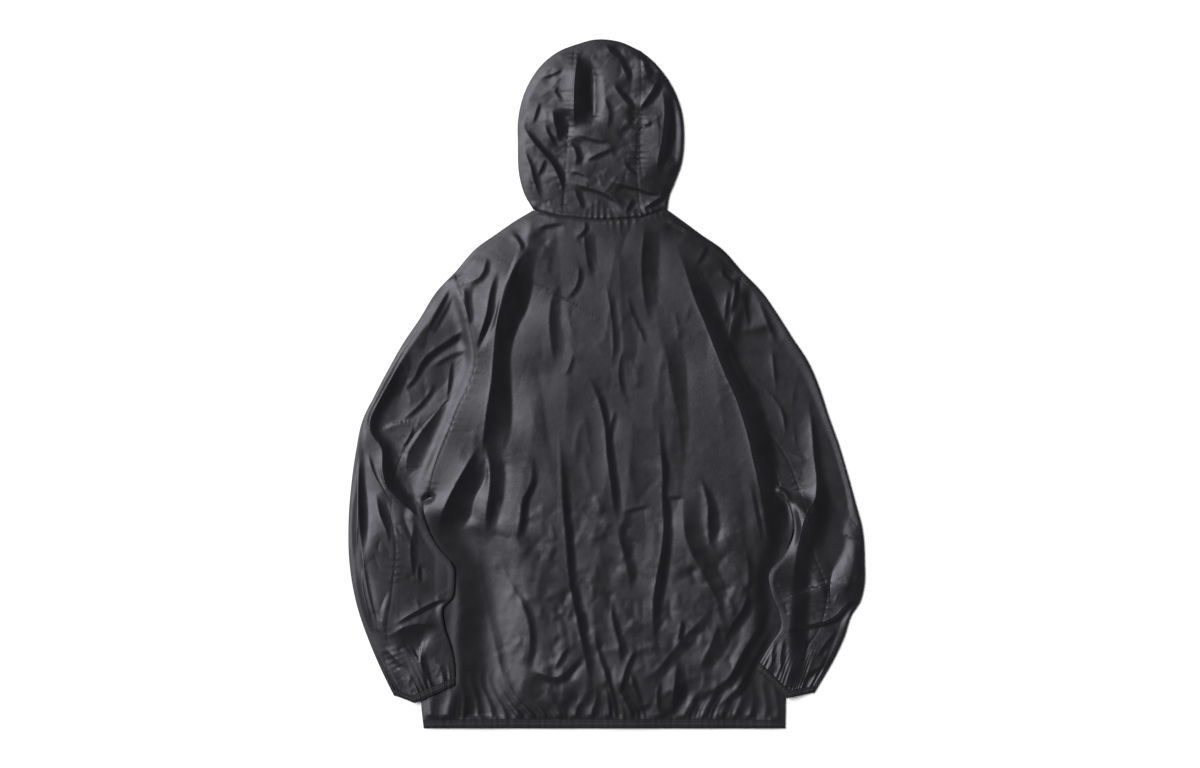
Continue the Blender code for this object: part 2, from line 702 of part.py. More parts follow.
class Hood:
    """Three panels: the side ones turn under at the outline, the centre one at the crown."""

    def __init__(self):
        self.up = np.linspace(0, 1, HOOD_ROWS + 1)
        self.crown = rounded(CROWN, NECK_STEPS + 1)
        self.crown_in = inward(self.crown, 1) * ROLL
        self.neck = neck_line()

    def seam(self, side):
        """Seam of the centre and a side panel on the top layer, up to the turned crown."""
        end = 0 if side == "left" else -1
        start = self.neck[NECK_SIDE_STEPS if side == "left" else -1 - NECK_SIDE_STEPS]
        stop = self.crown[end] + self.crown_in[end]
        line = rounded(HOOD_SEAM[side], 100)[2:]
        line = line[line[:, 1] < stop[1] - 1]
        return even(np.vstack([start, line, stop]), HOOD_ROWS + 1)

    def side_edge(self, side):
        """Starts of the side's turned edge from the neck to the crown, and its turn."""
        line = rounded(HOOD_OUTLINE[side], HOOD_ROWS + 1)
        way_in = inward(line, 1 if side == "left" else -1) * ROLL
        way_in[0] = NECK_END_TURN[side]
        way_in[-1] = self.crown_in[0 if side == "left" else -1]
        return line + way_in, -way_in

    def side_top(self, side):
        edge, seam = self.side_edge(side)[0], self.seam(side)
        blend = np.linspace(0, 1, NECK_SIDE_STEPS + 1)[None, :, None]
        plan = edge[:, None] * (1 - blend) + seam[:, None] * blend
        height = hood_height(plan[..., 0], plan[..., 1])
        height[:, 0] = LAID
        height[-1] = LAID
        return with_height(plan, height)

    def side_under(self, side):
        edge = self.side_edge(side)[0]
        low = neckline(side)
        face = rounded(FACE_EDGE[side], HOOD_ROWS + 1)
        face[0] = low[-1]
        across = np.linspace(0, 1, NECKLINE_STEPS + 1)
        high = edge[-1] + (face[-1] - edge[-1]) * across[:, None]
        return with_height(patch(edge, face, low, high, across, self.up), 0.0)

    def centre_top(self):
        left, right = self.seam("left"), self.seam("right")
        low = self.neck[NECK_SIDE_STEPS:-NECK_SIDE_STEPS]
        high = self.crown + self.crown_in
        across = np.linspace(0, 1, NECK_STEPS + 1)
        plan = patch(left, right, low, high, across, self.up)
        height = hood_height(plan[..., 0], plan[..., 1])
        height[-1] = LAID
        return with_height(plan, height)

    def centre_under(self):
        """Turned crown and the cloth under it, as far as the face opening."""
        start = self.crown + self.crown_in
        roll = turned_edge(start, -self.crown_in, np.zeros(NECK_STEPS + 1))
        face = rounded(FACE_TOP, NECK_STEPS + 1)
        share = np.linspace(0, 1, HOOD_CROWN_STEPS + 1)[:, None, None]
        return roll, with_height(start * (1 - share) + face * share, 0.0)

    def narrowed(self, points):
        """The centre panel's points, drawn in from the side panels by the seam's space."""
        points = points + (0, SEAM, 0)
        points[..., 0] *= 1 - 1.5 * SEAM / 50
        return points


def make_hood(material):
    hood = Hood()
    shift = (0, SEAM, 0)
    for side in OUTLINES:
        cloth = Cloth()
        edge, turns = hood.side_edge(side)
        cloth.grid(hood.side_top(side) + shift)
        cloth.grid(turned_edge(edge, turns, np.zeros(len(edge))) + shift)
        cloth.grid(hood.side_under(side) + shift)
        cloth.make(f"hood_{side}", material)
    cloth = Cloth()
    for part in (hood.centre_top(), *hood.centre_under()):
        cloth.grid(hood.narrowed(part))
    cloth.make("hood_centre", material)


# ---------------------------------------------------------------- zip


def tape_height(y):
    """Underside of the tapes: the inner side of the fronts' edges."""
    return front_height(FRONT_EDGE, y) + WALL + TAPE_GAP


def make_zip_tape(plan, side, material):
    """Tape on the inner side of a front's edge, with a row for each of the front's."""
    sign = -1 if side == "left" else 1
    across = sign * np.array([TAPE_EDGE, TAPE_EDGE + TAPE_WIDTH])
    up = plan[2:-1, -1, 1]
    tape = np.stack(np.meshgrid(across, up), axis=-1)
    cloth = Cloth()
    cloth.grid(with_height(tape, tape_height(up)[:, None]))
    return cloth.make(f"zip_tape_{side}", material, TAPE_WALL, faces_down=True)


def box(mesh, low, high):
    """A box between two corners, in millimetres from the slider's middle."""
    low, high = np.array(low, float), np.array(high, float)
    made = bmesh.ops.create_cube(mesh, size=1.0)["verts"]
    for vert in made:
        vert.co = (low + high) / 2 + (high - low) * np.array(vert.co)


def slider_levels():
    """Heights of the slider's lower plate, of its upper plate and of the pull's axis."""
    lower = SLIDER_LIFT
    upper = lower + SLIDER_SIZE[2] + PLATE_SPACE
    return lower, upper, lower - STRAP_SPACE / 2


def mesh_from_boxes(name, boxes, origin, material):
    """One solid from boxes that overlap, joined by Boolean unions."""
    pieces = []
    for number, (low, high) in enumerate(boxes):
        mesh = bmesh.new()
        box(mesh, low, high)
        bmesh.ops.scale(mesh, vec=(METRES,) * 3, verts=mesh.verts)
        data = bpy.data.meshes.new(f"{name}_{number}")
        mesh.to_mesh(data)
        mesh.free()
        pieces.append(add_object(name if number == 0 else f"{name}_cutter_{number}", data, material))
    place = (np.array(origin, float) - (*CENTRE, 0)) * METRES
    for piece in pieces:
        piece.location = place
    for other in pieces[1:]:
        PARTS.objects.unlink(other)
        CUTTERS.objects.link(other)
        other.hide_render = True
        other.display_type = "WIRE"
        union = pieces[0].modifiers.new("Join", "BOOLEAN")
        union.operation = "UNION"
        union.solver = "EXACT"
        union.object = other
    return pieces[0]


def make_slider(material):
    """Two plates round the teeth, a post between the tapes and a strap for the pull."""
    lower, upper, _ = slider_levels()
    half_x, half_y, plate = SLIDER_SIZE[0] / 2, SLIDER_SIZE[1] / 2, SLIDER_SIZE[2]
    strap_x, strap_y = STRAP_WIDTH / 2, STRAP_LENGTH / 2
    strap_low = lower - STRAP_SPACE - STRAP_WALL
    boxes = [
        ((-half_x, -half_y, lower), (half_x, half_y, lower + plate)),
        ((-half_x, -half_y, upper), (half_x, half_y, upper + plate)),
        ((-1.3, half_y - 4.0, lower + plate / 2), (1.3, half_y - 0.5, upper + plate / 2)),
        ((-strap_x, -strap_y, strap_low), (strap_x, strap_y, strap_low + STRAP_WALL)),
        ((-strap_x, -strap_y, strap_low), (strap_x, -strap_y + STRAP_WALL, lower + plate / 2)),
        ((-strap_x, strap_y - STRAP_WALL, strap_low), (strap_x, strap_y, lower + plate / 2)),
    ]
    return mesh_from_boxes("zip_slider", boxes, (0, SLIDER_Y, 0), material)


def make_pull(material):
    """Pull tab: a plate with a window at one end, whose bar turns in the slider's strap."""
    axis = slider_levels()[2]
    half, bar = PULL_WIDTH / 2, PULL_WALL / 2
    window_end = -bar - WINDOW_LENGTH
    boxes = [
        ((-half, -bar, -bar), (half, bar, bar)),
        ((-half, -PULL_LENGTH, -bar), (half, window_end, bar)),
        ((-half, window_end - 1, -bar), (-half + PULL_ARM, bar, bar)),
        ((half - PULL_ARM, window_end - 1, -bar), (half, bar, bar)),
    ]
    pull = mesh_from_boxes("zip_pull", boxes, (0, SLIDER_Y, axis), material)
    for piece in (pull, *CUTTERS.objects):
        if piece.name.startswith("zip_pull"):
            piece.rotation_euler.x = np.radians(PULL_TILT)


CUTTERS = bpy.data.collections.new("cutters")


def main():
    for old in list(bpy.data.objects):
        bpy.data.objects.remove(old, do_unlink=True)
    bpy.context.scene.collection.children.link(PARTS)
    bpy.context.scene.collection.children.link(CUTTERS)
    nylon = make_material("coated_nylon", NYLON, 0.42)
    elastic = make_material("elastic_binding", ELASTIC, 0.7)
    metal = make_material("zip_metal", METAL, 0.35, 1.0)
    body = Body()
    make_back(body, nylon)
    make_hem_binding(body, elastic)
    for side in OUTLINES:
        plan = front_plan(body, side)
        make_front(plan, side, nylon)
        make_front_binding(plan, side, elastic)
        make_zip_tape(plan, side, elastic)
        sleeve = Sleeve(side)
        make_sleeve_panel(sleeve, "upper", nylon)
        make_sleeve_panel(sleeve, "under", nylon)
        make_cuff_binding(sleeve, elastic)
    make_hood(nylon)
    make_slider(metal)
    make_pull(metal)


main()
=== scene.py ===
"""Looks of the sun protection jacket: thin coated nylon laid flat, back up.

Each sheet is a fine shell on the form of the solid that it replaces. Sizes are in
millimetres from the middle of the hem, as in the part, and become metres in to_row.
Left and right are those of the picture.
"""

from collections import namedtuple

import bmesh
import bpy
import numpy as np
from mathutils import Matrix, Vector


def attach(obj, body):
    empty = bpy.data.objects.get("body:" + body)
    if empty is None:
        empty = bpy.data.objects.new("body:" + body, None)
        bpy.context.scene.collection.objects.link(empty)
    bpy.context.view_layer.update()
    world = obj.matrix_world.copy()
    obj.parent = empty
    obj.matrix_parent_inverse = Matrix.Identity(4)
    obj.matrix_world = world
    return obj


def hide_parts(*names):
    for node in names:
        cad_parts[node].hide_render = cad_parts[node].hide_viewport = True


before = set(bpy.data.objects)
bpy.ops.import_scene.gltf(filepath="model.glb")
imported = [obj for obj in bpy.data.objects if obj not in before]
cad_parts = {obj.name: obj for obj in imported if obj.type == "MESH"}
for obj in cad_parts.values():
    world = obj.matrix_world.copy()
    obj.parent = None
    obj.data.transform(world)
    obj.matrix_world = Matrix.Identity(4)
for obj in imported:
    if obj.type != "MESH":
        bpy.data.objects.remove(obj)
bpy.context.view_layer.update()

METRES = 0.001
CENTRE = (2.3, 490.4)  # of the whole, where the row's origin is

BINDING = 12.0  # width of the elastic bindings
BINDING_WALL = 1.3
LAID = 3.6  # height of the top layer where it turns under
ROLL = LAID / 2
ROLL_STEPS = 8
STACK = 6.6  # height of the forearms' underside on the body
TURN_UNDER = 12.0  # cloth turned under along the body's sides and shoulders
STITCH_PITCH, STITCH_LIFT = 3.4, 0.12
STITCH_SIZE = (2.5, 0.55, 0.4)

SIGN = {"left": 1, "right": -1}  # way along X from the edge of each side into the garment
END = {"left": 0, "right": -1}  # of a line drawn from the left to the right

# ---------------------------------------------------------------- lines in plan

Outline = namedtuple(
    "Outline", "shoulder armhole side outer inner cuff seam seam_at_cuff arm_split neckline"
)
OUTLINES = {
    "left": Outline(
        shoulder=[(-102, 737), (-126, 723), (-155, 703), (-183, 683), (-213, 649)],
        armhole=[(-213, 649), (-192, 574), (-184, 528), (-215, 440), (-246, 354), (-250, 330)],
        side=[(-250, 330), (-263, 322), (-269, 304), (-267, 280), (-262, 220), (-261, 110),
              (-261, 27), (-258, 0)],
        outer=[(-213, 649), (-239, 622), (-264, 582), (-287, 548), (-308, 511), (-328, 473),
               (-345, 438), (-354, 396), (-361, 346), (-365, 290), (-364, 240), (-354, 179),
               (-332, 115), (-311, 68), (-300, 46)],
        inner=[(-250, 330), (-261, 308), (-251, 280), (-233, 252), (-215, 232), (-213, 205),
               (-216, 186), (-229, 172), (-228, 148), (-218, 116), (-213, 90), (-213, 61)],
        cuff=[(-300, 46), (-283, 34), (-247, 50), (-213, 61)],
        seam=[(-224, 464), (-262, 428), (-292, 380), (-303, 319), (-297, 250), (-303, 190),
              (-310, 130)],
        seam_at_cuff=0.36,
        arm_split=0.5,
        neckline=[(-90, 722), (-72, 696), (-42, 668), (-6, 655)],
    ),
    "right": Outline(
        shoulder=[(88, 738), (109, 723), (136, 703), (165, 683), (196, 649)],
        armhole=[(196, 649), (180, 586), (172, 538), (208, 460), (244, 360), (250, 340)],
        side=[(250, 340), (264, 331), (272, 308), (271, 280), (266, 240), (260, 170), (258, 100),
              (256, 0)],
        outer=[(196, 649), (223, 621), (246, 588), (267, 555), (288, 523), (305, 484),
               (318, 444), (332, 405), (344, 365), (355, 325), (366, 283), (369, 240),
               (368, 200), (363, 181), (350, 160), (340, 130), (324, 96), (306, 65), (297, 50)],
        inner=[(250, 340), (263, 312), (267, 280), (252, 246), (233, 220), (237, 190),
               (248, 162), (250, 145), (236, 122), (223, 100), (214, 84)],
        cuff=[(297, 50), (285, 30), (250, 50), (214, 84)],
        seam=[(254, 392), (283, 320), (297, 250), (316, 190), (306, 145), (277, 100)],
        seam_at_cuff=0.48,
        arm_split=8 / 12,
        neckline=[(77, 723), (62, 697), (38, 668), (6, 655)],
    ),
}
NECK = [(-60, 727), (-7, 723), (51, 726)]
NECK_END_TURN = {"left": (3.9, -1.0), "right": (-3.9, -1.0)}
HOOD_OUTLINE = {
    "left": [(-102, 738), (-115, 761), (-121, 782), (-124, 836), (-124, 862), (-112, 910),
             (-87, 947), (-62, 965), (-44, 972)],
    "right": [(88, 738), (91, 757), (99, 777), (108, 802), (112, 840), (109, 876), (102, 899),
              (84, 931), (64, 953), (50, 964)],
}
HOOD_SEAM = {
    "left": [(-60, 727), (-56, 790), (-51, 858), (-46, 920), (-43, 969)],
    "right": [(51, 726), (46, 790), (48, 858), (52, 915), (50, 961)],
}
CROWN = [(-44, 972), (-14, 980), (20, 977), (50, 964)]
FACE_EDGE = {
    "left": [(-14, 658), (-20, 740), (-46, 830), (-58, 900), (-48, 934)],
    "right": [(14, 658), (20, 740), (44, 830), (58, 892), (52, 926)],
}
FACE_TOP = [(-48, 934), (-16, 942), (20, 940), (52, 926)]

# ---------------------------------------------------------------- creases
# A slope of the cloth: high and low are the heights at its two sides, and before and after how
# far from them the cloth takes to come level. Then come the points of a line, each (x, y, width).
# The line is the slope's top and width its breadth, to the line's left as drawn in the direction
# of travel, so to +X of a line that runs down.
BODY_SLOPES = [
    # left shoulder to the underarm, with the thin crest over the armhole
    (6, -7, 40, 34, (-108, 710, 7), (-109, 690, 12), (-133, 650, 32), (-150, 600, 36), (-155, 565, 26),
     (-158, 530, 22), (-161, 495, 26), (-168, 450, 34), (-174, 400, 30), (-177, 370, 12)),
    (4, -4, 16, 24, (-172, 410, 8), (-164, 370, 20), (-165, 335, 20), (-169, 300, 16), (-166, 262, 8)),
    (-1, 3, 12, 22, (-122, 694, 4), (-138, 640, 4), (-152, 600, 5), (-168, 562, 5), (-184, 530, 4)),
    (3, -3, 14, 6, (-152, 655, 3), (-163, 620, 8), (-168, 590, 10), (-177, 560, 9), (-184, 537, 4)),
    (-7, -7, 40, 40, (-181, 545, 1), (-192, 510, 1), (-213, 455, 1), (-235, 395, 1), (-248, 345, 1)),
    (6, -6, 30, 12, (-176, 408, 8), (-198, 372, 30), (-215, 342, 32), (-227, 318, 38), (-234, 295, 32),
     (-238, 272, 20)),
    (2, -2, 14, 8, (-200, 632, 12), (-199, 610, 9), (-195, 585, 8), (-190, 568, 3)),
    (2, -2, 10, 8, (-168, 672, 4), (-172, 650, 7), (-182, 638, 7), (-198, 634, 5)),
    (-2, -2, 8, 8, (-140, 712, 2), (-122, 708, 2), (-106, 704, 2)),
    (2, -2, 8, 8, (-135, 704, 2), (-122, 694, 4), (-118, 676, 4)),
    # neck
    (2, -2, 6, 8, (-56, 719, 3), (-78, 717, 5), (-98, 712, 5)),
    (-2, -2, 6, 8, (-101, 706, 2), (-93, 693, 4), (-80, 684, 3)),
    (1.6, -1.6, 8, 8, (-30, 722, 3), (-28, 708, 4), (-44, 698, 3)),
    (2, -2.4, 8, 8, (120, 706, 3), (104, 716, 4), (86, 722, 4)),
    # middle of the back, soft
    (1.5, -1.5, 18, 34, (-60, 642, 5), (-74, 615, 10), (-79, 585, 16), (-76, 545, 16), (-70, 505, 10)),
    (1.1, -1.2, 8, 10, (-38, 664, 3), (-37, 642, 6), (-46, 620, 5), (-58, 610, 3)),
    (1.3, -1.3, 24, 20, (-30, 716, 12), (-28, 680, 14), (-20, 640, 8)),
    (1.1, -1.2, 16, 16, (0, 640, 4), (8, 595, 7), (12, 550, 8), (8, 505, 5)),
    (3, -2.6, 20, 16, (-26, 505, 4), (-9, 468, 7), (0, 432, 7), (3, 395, 8), (9, 350, 9), (13, 315, 9),
     (20, 284, 4)),
    (1.2, -1.4, 8, 8, (15, 455, 3), (8, 430, 5), (4, 402, 3)),
    (0.9, -0.9, 10, 10, (-45, 535, 3), (-50, 515, 5), (-58, 500, 3)),
    (1.8, -2.0, 46, 18, (58, 724, 16), (54, 690, 22), (52, 650, 22), (56, 610, 16), (64, 572, 7)),
    (1.1, -1.2, 34, 12, (76, 562, 12), (88, 530, 22), (93, 490, 22), (103, 450, 14), (108, 410, 9),
     (112, 365, 4)),
    (0.9, -0.9, 14, 14, (30, 620, 3), (38, 590, 6), (52, 560, 6), (60, 535, 3)),
    (0.9, -1.0, 16, 14, (28, 545, 3), (20, 515, 6), (22, 485, 6), (34, 460, 3)),
    # right shoulder to the underarm
    (6, -8, 60, 90, (97, 704, 5), (104, 680, 14), (115, 650, 20), (126, 616, 24), (141, 580, 24),
     (156, 540, 24), (170, 505, 28), (186, 470, 30), (201, 425, 32), (212, 378, 34), (225, 322, 32),
     (238, 268, 22), (244, 240, 12), (246, 215, 6)),
    (2, -2, 8, 8, (166, 655, 3), (170, 640, 5), (186, 634, 4)),
    (2.4, -2.4, 10, 7, (187, 642, 4), (184, 612, 6), (178, 586, 4)),
    (1.8, -2, 7, 6, (176, 626, 3), (172, 600, 5), (170, 572, 3)),
    (1.4, -1.4, 12, 12, (146, 690, 3), (138, 672, 4), (128, 660, 3)),
    (1.4, -1.4, 10, 8, (206, 352, 3), (216, 300, 4), (224, 262, 3)),
    (1.4, -1.4, 8, 8, (216, 345, 3), (228, 290, 4), (236, 255, 3)),
    # long creases to the hem
    (2.6, -2.8, 30, 26, (-66, 432, 5), (-62, 380, 7), (-59, 320, 9), (-54, 260, 9), (-50, 212, 10),
     (-38, 150, 12), (-27, 95, 11), (-18, 50, 9), (-10, 20, 6)),
    (2, -2.2, 8, 14, (-16, 142, 4), (-8, 105, 5), (2, 75, 6), (10, 50, 7), (22, 22, 6)),
    (3, -3, 12, 20, (-186, 292, 5), (-181, 250, 8), (-173, 200, 10), (-163, 150, 10), (-152, 100, 11),
     (-142, 60, 10), (-133, 28, 6)),
    (2.6, -2.6, 20, 16, (-104, 390, 3), (-104, 350, 6), (-116, 325, 7), (-120, 295, 9), (-127, 258, 5)),
    (1.8, -2, 24, 24, (-152, 262, 4), (-140, 215, 7), (-118, 178, 8), (-107, 145, 9), (-106, 115, 8),
     (-116, 78, 5)),
    (3, -2.6, 12, 16, (-32, 106, 3), (-50, 84, 7), (-68, 72, 9), (-90, 78, 9), (-110, 86, 4)),
    (2, -1.5, 5, 12, (-50, 118, 4), (-62, 104, 6), (-72, 82, 4)),
    (-1.5, -1.5, 8, 10, (-120, 322, 1), (-104, 316, 2), (-90, 308, 1)),
    (3.2, -3.6, 22, 24, (76, 458, 5), (79, 410, 6), (83, 360, 6), (82, 332, 6), (84, 300, 10),
     (82, 260, 11), (75, 220, 13), (69, 180, 12), (69, 145, 10), (71, 102, 5)),
    (1.4, -1.4, 12, 10, (112, 330, 2), (98, 330, 4), (84, 328, 2)),
    (1.4, -1.4, 10, 10, (66, 318, 2), (44, 314, 4), (22, 306, 2)),
    (2, -2.4, 26, 22, (112, 338, 10), (112, 300, 24), (115, 270, 28), (125, 245, 24), (142, 215, 22),
     (156, 190, 16), (164, 160, 10), (161, 142, 5)),
    (2.4, -2.6, 6, 10, (130, 364, 3), (141, 340, 6), (146, 320, 11), (146, 290, 16), (150, 262, 10),
     (162, 248, 4)),
    (1.8, -2, 24, 18, (152, 172, 5), (130, 148, 12), (110, 128, 14), (92, 105, 12), (72, 82, 12),
     (46, 66, 7)),
    (2, -2, 6, 6, (109, 156, 3), (107, 138, 5), (102, 122, 3)),
    (2, -2.2, 12, 16, (163, 155, 10), (152, 125, 22), (140, 98, 16), (132, 78, 8)),
    (2.2, -2.4, 16, 8, (233, 196, 3), (227, 160, 6), (208, 128, 9), (190, 98, 9), (176, 72, 10),
     (150, 54, 8), (122, 44, 4)),
    (2.6, -3, 8, 8, (243, 168, 3), (236, 140, 5), (222, 115, 6), (208, 88, 8), (196, 66, 8),
     (175, 44, 6), (150, 26, 4)),
    (2.2, -2.4, 10, 8, (104, 104, 7), (100, 70, 14), (97, 40, 18), (96, 16, 14)),
    (2, -2, 16, 16, (8, 190, 4), (12, 150, 7), (20, 120, 8), (22, 85, 5)),
    (1.6, -1.6, 16, 20, (16, 290, 6), (26, 250, 12), (34, 215, 10), (38, 190, 5)),
    (1.2, -1.2, 12, 14, (196, 262, 3), (204, 235, 6), (204, 208, 6), (198, 185, 3)),
    (2, -2.2, 16, 12, (205, 200, 6), (196, 172, 12), (180, 146, 10), (168, 120, 5)),
    (2, -1.6, 10, 12, (48, 120, 4), (34, 96, 6), (24, 66, 7), (18, 44, 4)),
    (1.8, -1.8, 8, 10, (36, 84, 3), (42, 58, 5), (54, 30, 4)),
    (1.8, -1.8, 8, 8, (78, 70, 3), (74, 46, 5), (76, 20, 4)),
]

SLEEVE_SLOPES = {
    "left": [
        (1.6, -1.8, 8, 8, (-216, 640, 3), (-229, 612, 5), (-245, 582, 6), (-257, 560, 4)),
        (1.3, -1.3, 5, 6, (-211, 632, 2), (-222, 606, 3), (-236, 580, 3), (-249, 558, 2)),
        (4.5, -6, 14, 16, (-276, 556, 5), (-290, 530, 15), (-304, 500, 20), (-321, 470, 24),
         (-333, 446, 27), (-332, 420, 14), (-318, 400, 16), (-316, 365, 26), (-311, 345, 30),
         (-290, 322, 22), (-262, 298, 9), (-238, 268, 4)),
        (2.6, -2.8, 16, 9, (-190, 575, 7), (-208, 561, 8), (-232, 545, 7), (-258, 524, 7),
         (-268, 505, 5), (-277, 488, 3)),
        (1.8, -1.2, 5, 10, (-190, 540, 3), (-212, 534, 4), (-232, 524, 4), (-247, 514, 3)),
        (1.6, -1.6, 6, 6, (-218, 524, 2), (-222, 495, 5), (-225, 466, 3)),
        (1.6, -1.8, 8, 6, (-240, 494, 3), (-256, 468, 5), (-272, 452, 5), (-291, 437, 3)),
        (1.4, -1.4, 6, 6, (-272, 430, 2), (-280, 412, 4), (-290, 398, 2)),
        (1.4, -1.4, 8, 6, (-262, 512, 3), (-272, 496, 4), (-286, 482, 3)),
        (3, -3.2, 8, 10, (-349, 405, 4), (-351, 350, 9), (-352, 300, 14), (-354, 262, 12),
         (-357, 234, 4)),
        (1.8, -1.6, 6, 10, (-338, 396, 3), (-330, 365, 4), (-318, 342, 4), (-303, 318, 3)),
        (1.8, -2, 12, 8, (-326, 338, 7), (-320, 305, 12), (-310, 280, 8), (-306, 262, 4)),
        (2.4, -2.6, 10, 8, (-346, 242, 4), (-345, 205, 9), (-338, 170, 9), (-327, 132, 5)),
        (-1, 1.6, 6, 10, (-306, 200, 3), (-318, 172, 4), (-322, 140, 4), (-316, 118, 3)),
        (1, -3.5, 10, 30, (-208, 490, 8), (-226, 467, 24), (-248, 439, 36), (-266, 415, 40),
         (-280, 392, 34), (-282, 360, 22), (-272, 330, 8)),
        (3, -3, 6, 14, (-214, 184, 3), (-240, 181, 5), (-262, 170, 5), (-285, 157, 4), (-300, 147, 3)),
        (3, -4, 18, 14, (-234, 142, 12), (-258, 150, 28), (-283, 146, 34), (-306, 132, 18)),
        (1.6, -2, 8, 8, (-280, 86, 3), (-296, 98, 7), (-312, 116, 5)),
        (2, -2.2, 10, 10, (-266, 114, 6), (-260, 85, 9), (-253, 52, 6)),
        (1.6, -1.6, 8, 8, (-276, 78, 3), (-279, 60, 6), (-276, 42, 3)),
        (1.4, -1.4, 5, 5, (-262, 236, 2), (-266, 222, 4), (-262, 206, 2)),
        (1.2, -1.2, 14, 16, (-270, 300, 4), (-276, 250, 8), (-270, 205, 5)),
        (4.5, -1.5, 12, 30, (-352, 372, 30), (-350, 320, 80), (-346, 260, 100), (-338, 200, 95),
         (-322, 140, 80), (-306, 95, 40)),
        (2.5, -1.5, 14, 30, (-222, 640, 10), (-250, 590, 50), (-285, 535, 70), (-315, 480, 50),
         (-335, 440, 20)),
    ],
    "right": [
        (2, -2.2, 7, 6, (197, 622, 3), (200, 595, 5), (205, 570, 3)),
        (2, -3, 10, 18, (238, 574, 8), (206, 568, 26), (186, 566, 14)),
        (3, -3, 12, 14, (236, 548, 6), (240, 515, 12), (244, 480, 10), (248, 458, 5)),
        (2.6, -2.8, 8, 12, (205, 634, 6), (220, 605, 12), (234, 570, 12), (244, 543, 6)),
        (3, -4, 16, 10, (186, 522, 4), (207, 505, 6), (230, 480, 7), (250, 455, 9), (256, 430, 12),
         (254, 404, 7)),
        (2.2, -2.2, 8, 8, (207, 494, 8), (216, 470, 7), (221, 446, 3)),
        (6, -7, 24, 12, (285, 498, 4), (290, 465, 13), (294, 430, 24), (297, 390, 30), (301, 350, 36),
         (298, 325, 42), (284, 300, 52), (276, 270, 56), (270, 230, 50), (266, 195, 30)),
        (1.6, -1.8, 6, 6, (252, 398, 3), (268, 390, 6), (289, 379, 3)),
        (1.2, -1.2, 5, 5, (262, 368, 2), (272, 366, 3), (282, 360, 2)),
        (2, -2, 12, 14, (276, 512, 3), (268, 470, 3), (269, 420, 3), (276, 385, 2)),
        (3, -4, 14, 16, (364, 184, 4), (345, 177, 12), (325, 158, 8), (300, 149, 5), (272, 144, 5),
         (254, 140, 3)),
        (1.6, -1.6, 6, 6, (241, 132, 2), (237, 105, 5), (236, 84, 3)),
        (1.8, -1.8, 6, 7, (254, 130, 2), (249, 98, 6), (251, 72, 3)),
        (2, -2, 8, 8, (288, 132, 3), (274, 100, 7), (262, 70, 4)),
        (1.8, -2, 6, 8, (316, 90, 3), (296, 84, 6), (279, 66, 4)),
        (1.6, -1.6, 8, 10, (330, 140, 3), (312, 120, 6), (300, 100, 4)),
        (1.4, -1.4, 6, 6, (346, 298, 2), (356, 288, 4), (362, 280, 2)),
        (0, -5, 4, 20, (262, 304, 16), (248, 252, 40), (238, 215, 50), (240, 185, 42), (250, 162, 20)),
        (-2, 2.4, 30, 10, (316, 445, 4), (324, 410, 10), (334, 350, 18), (343, 305, 16), (350, 282, 5)),
        (-1.9, 1.9, 10, 16, (342, 296, 6), (336, 265, 18), (327, 235, 24), (320, 205, 22),
         (322, 172, 10)),
        (-2, 2, 6, 6, (180, 624, 4), (177, 598, 10), (179, 572, 8), (188, 552, 3)),
        (1.6, -1.4, 6, 10, (204, 494, 3), (219, 470, 5), (226, 440, 5), (250, 404, 4)),
    ],
}

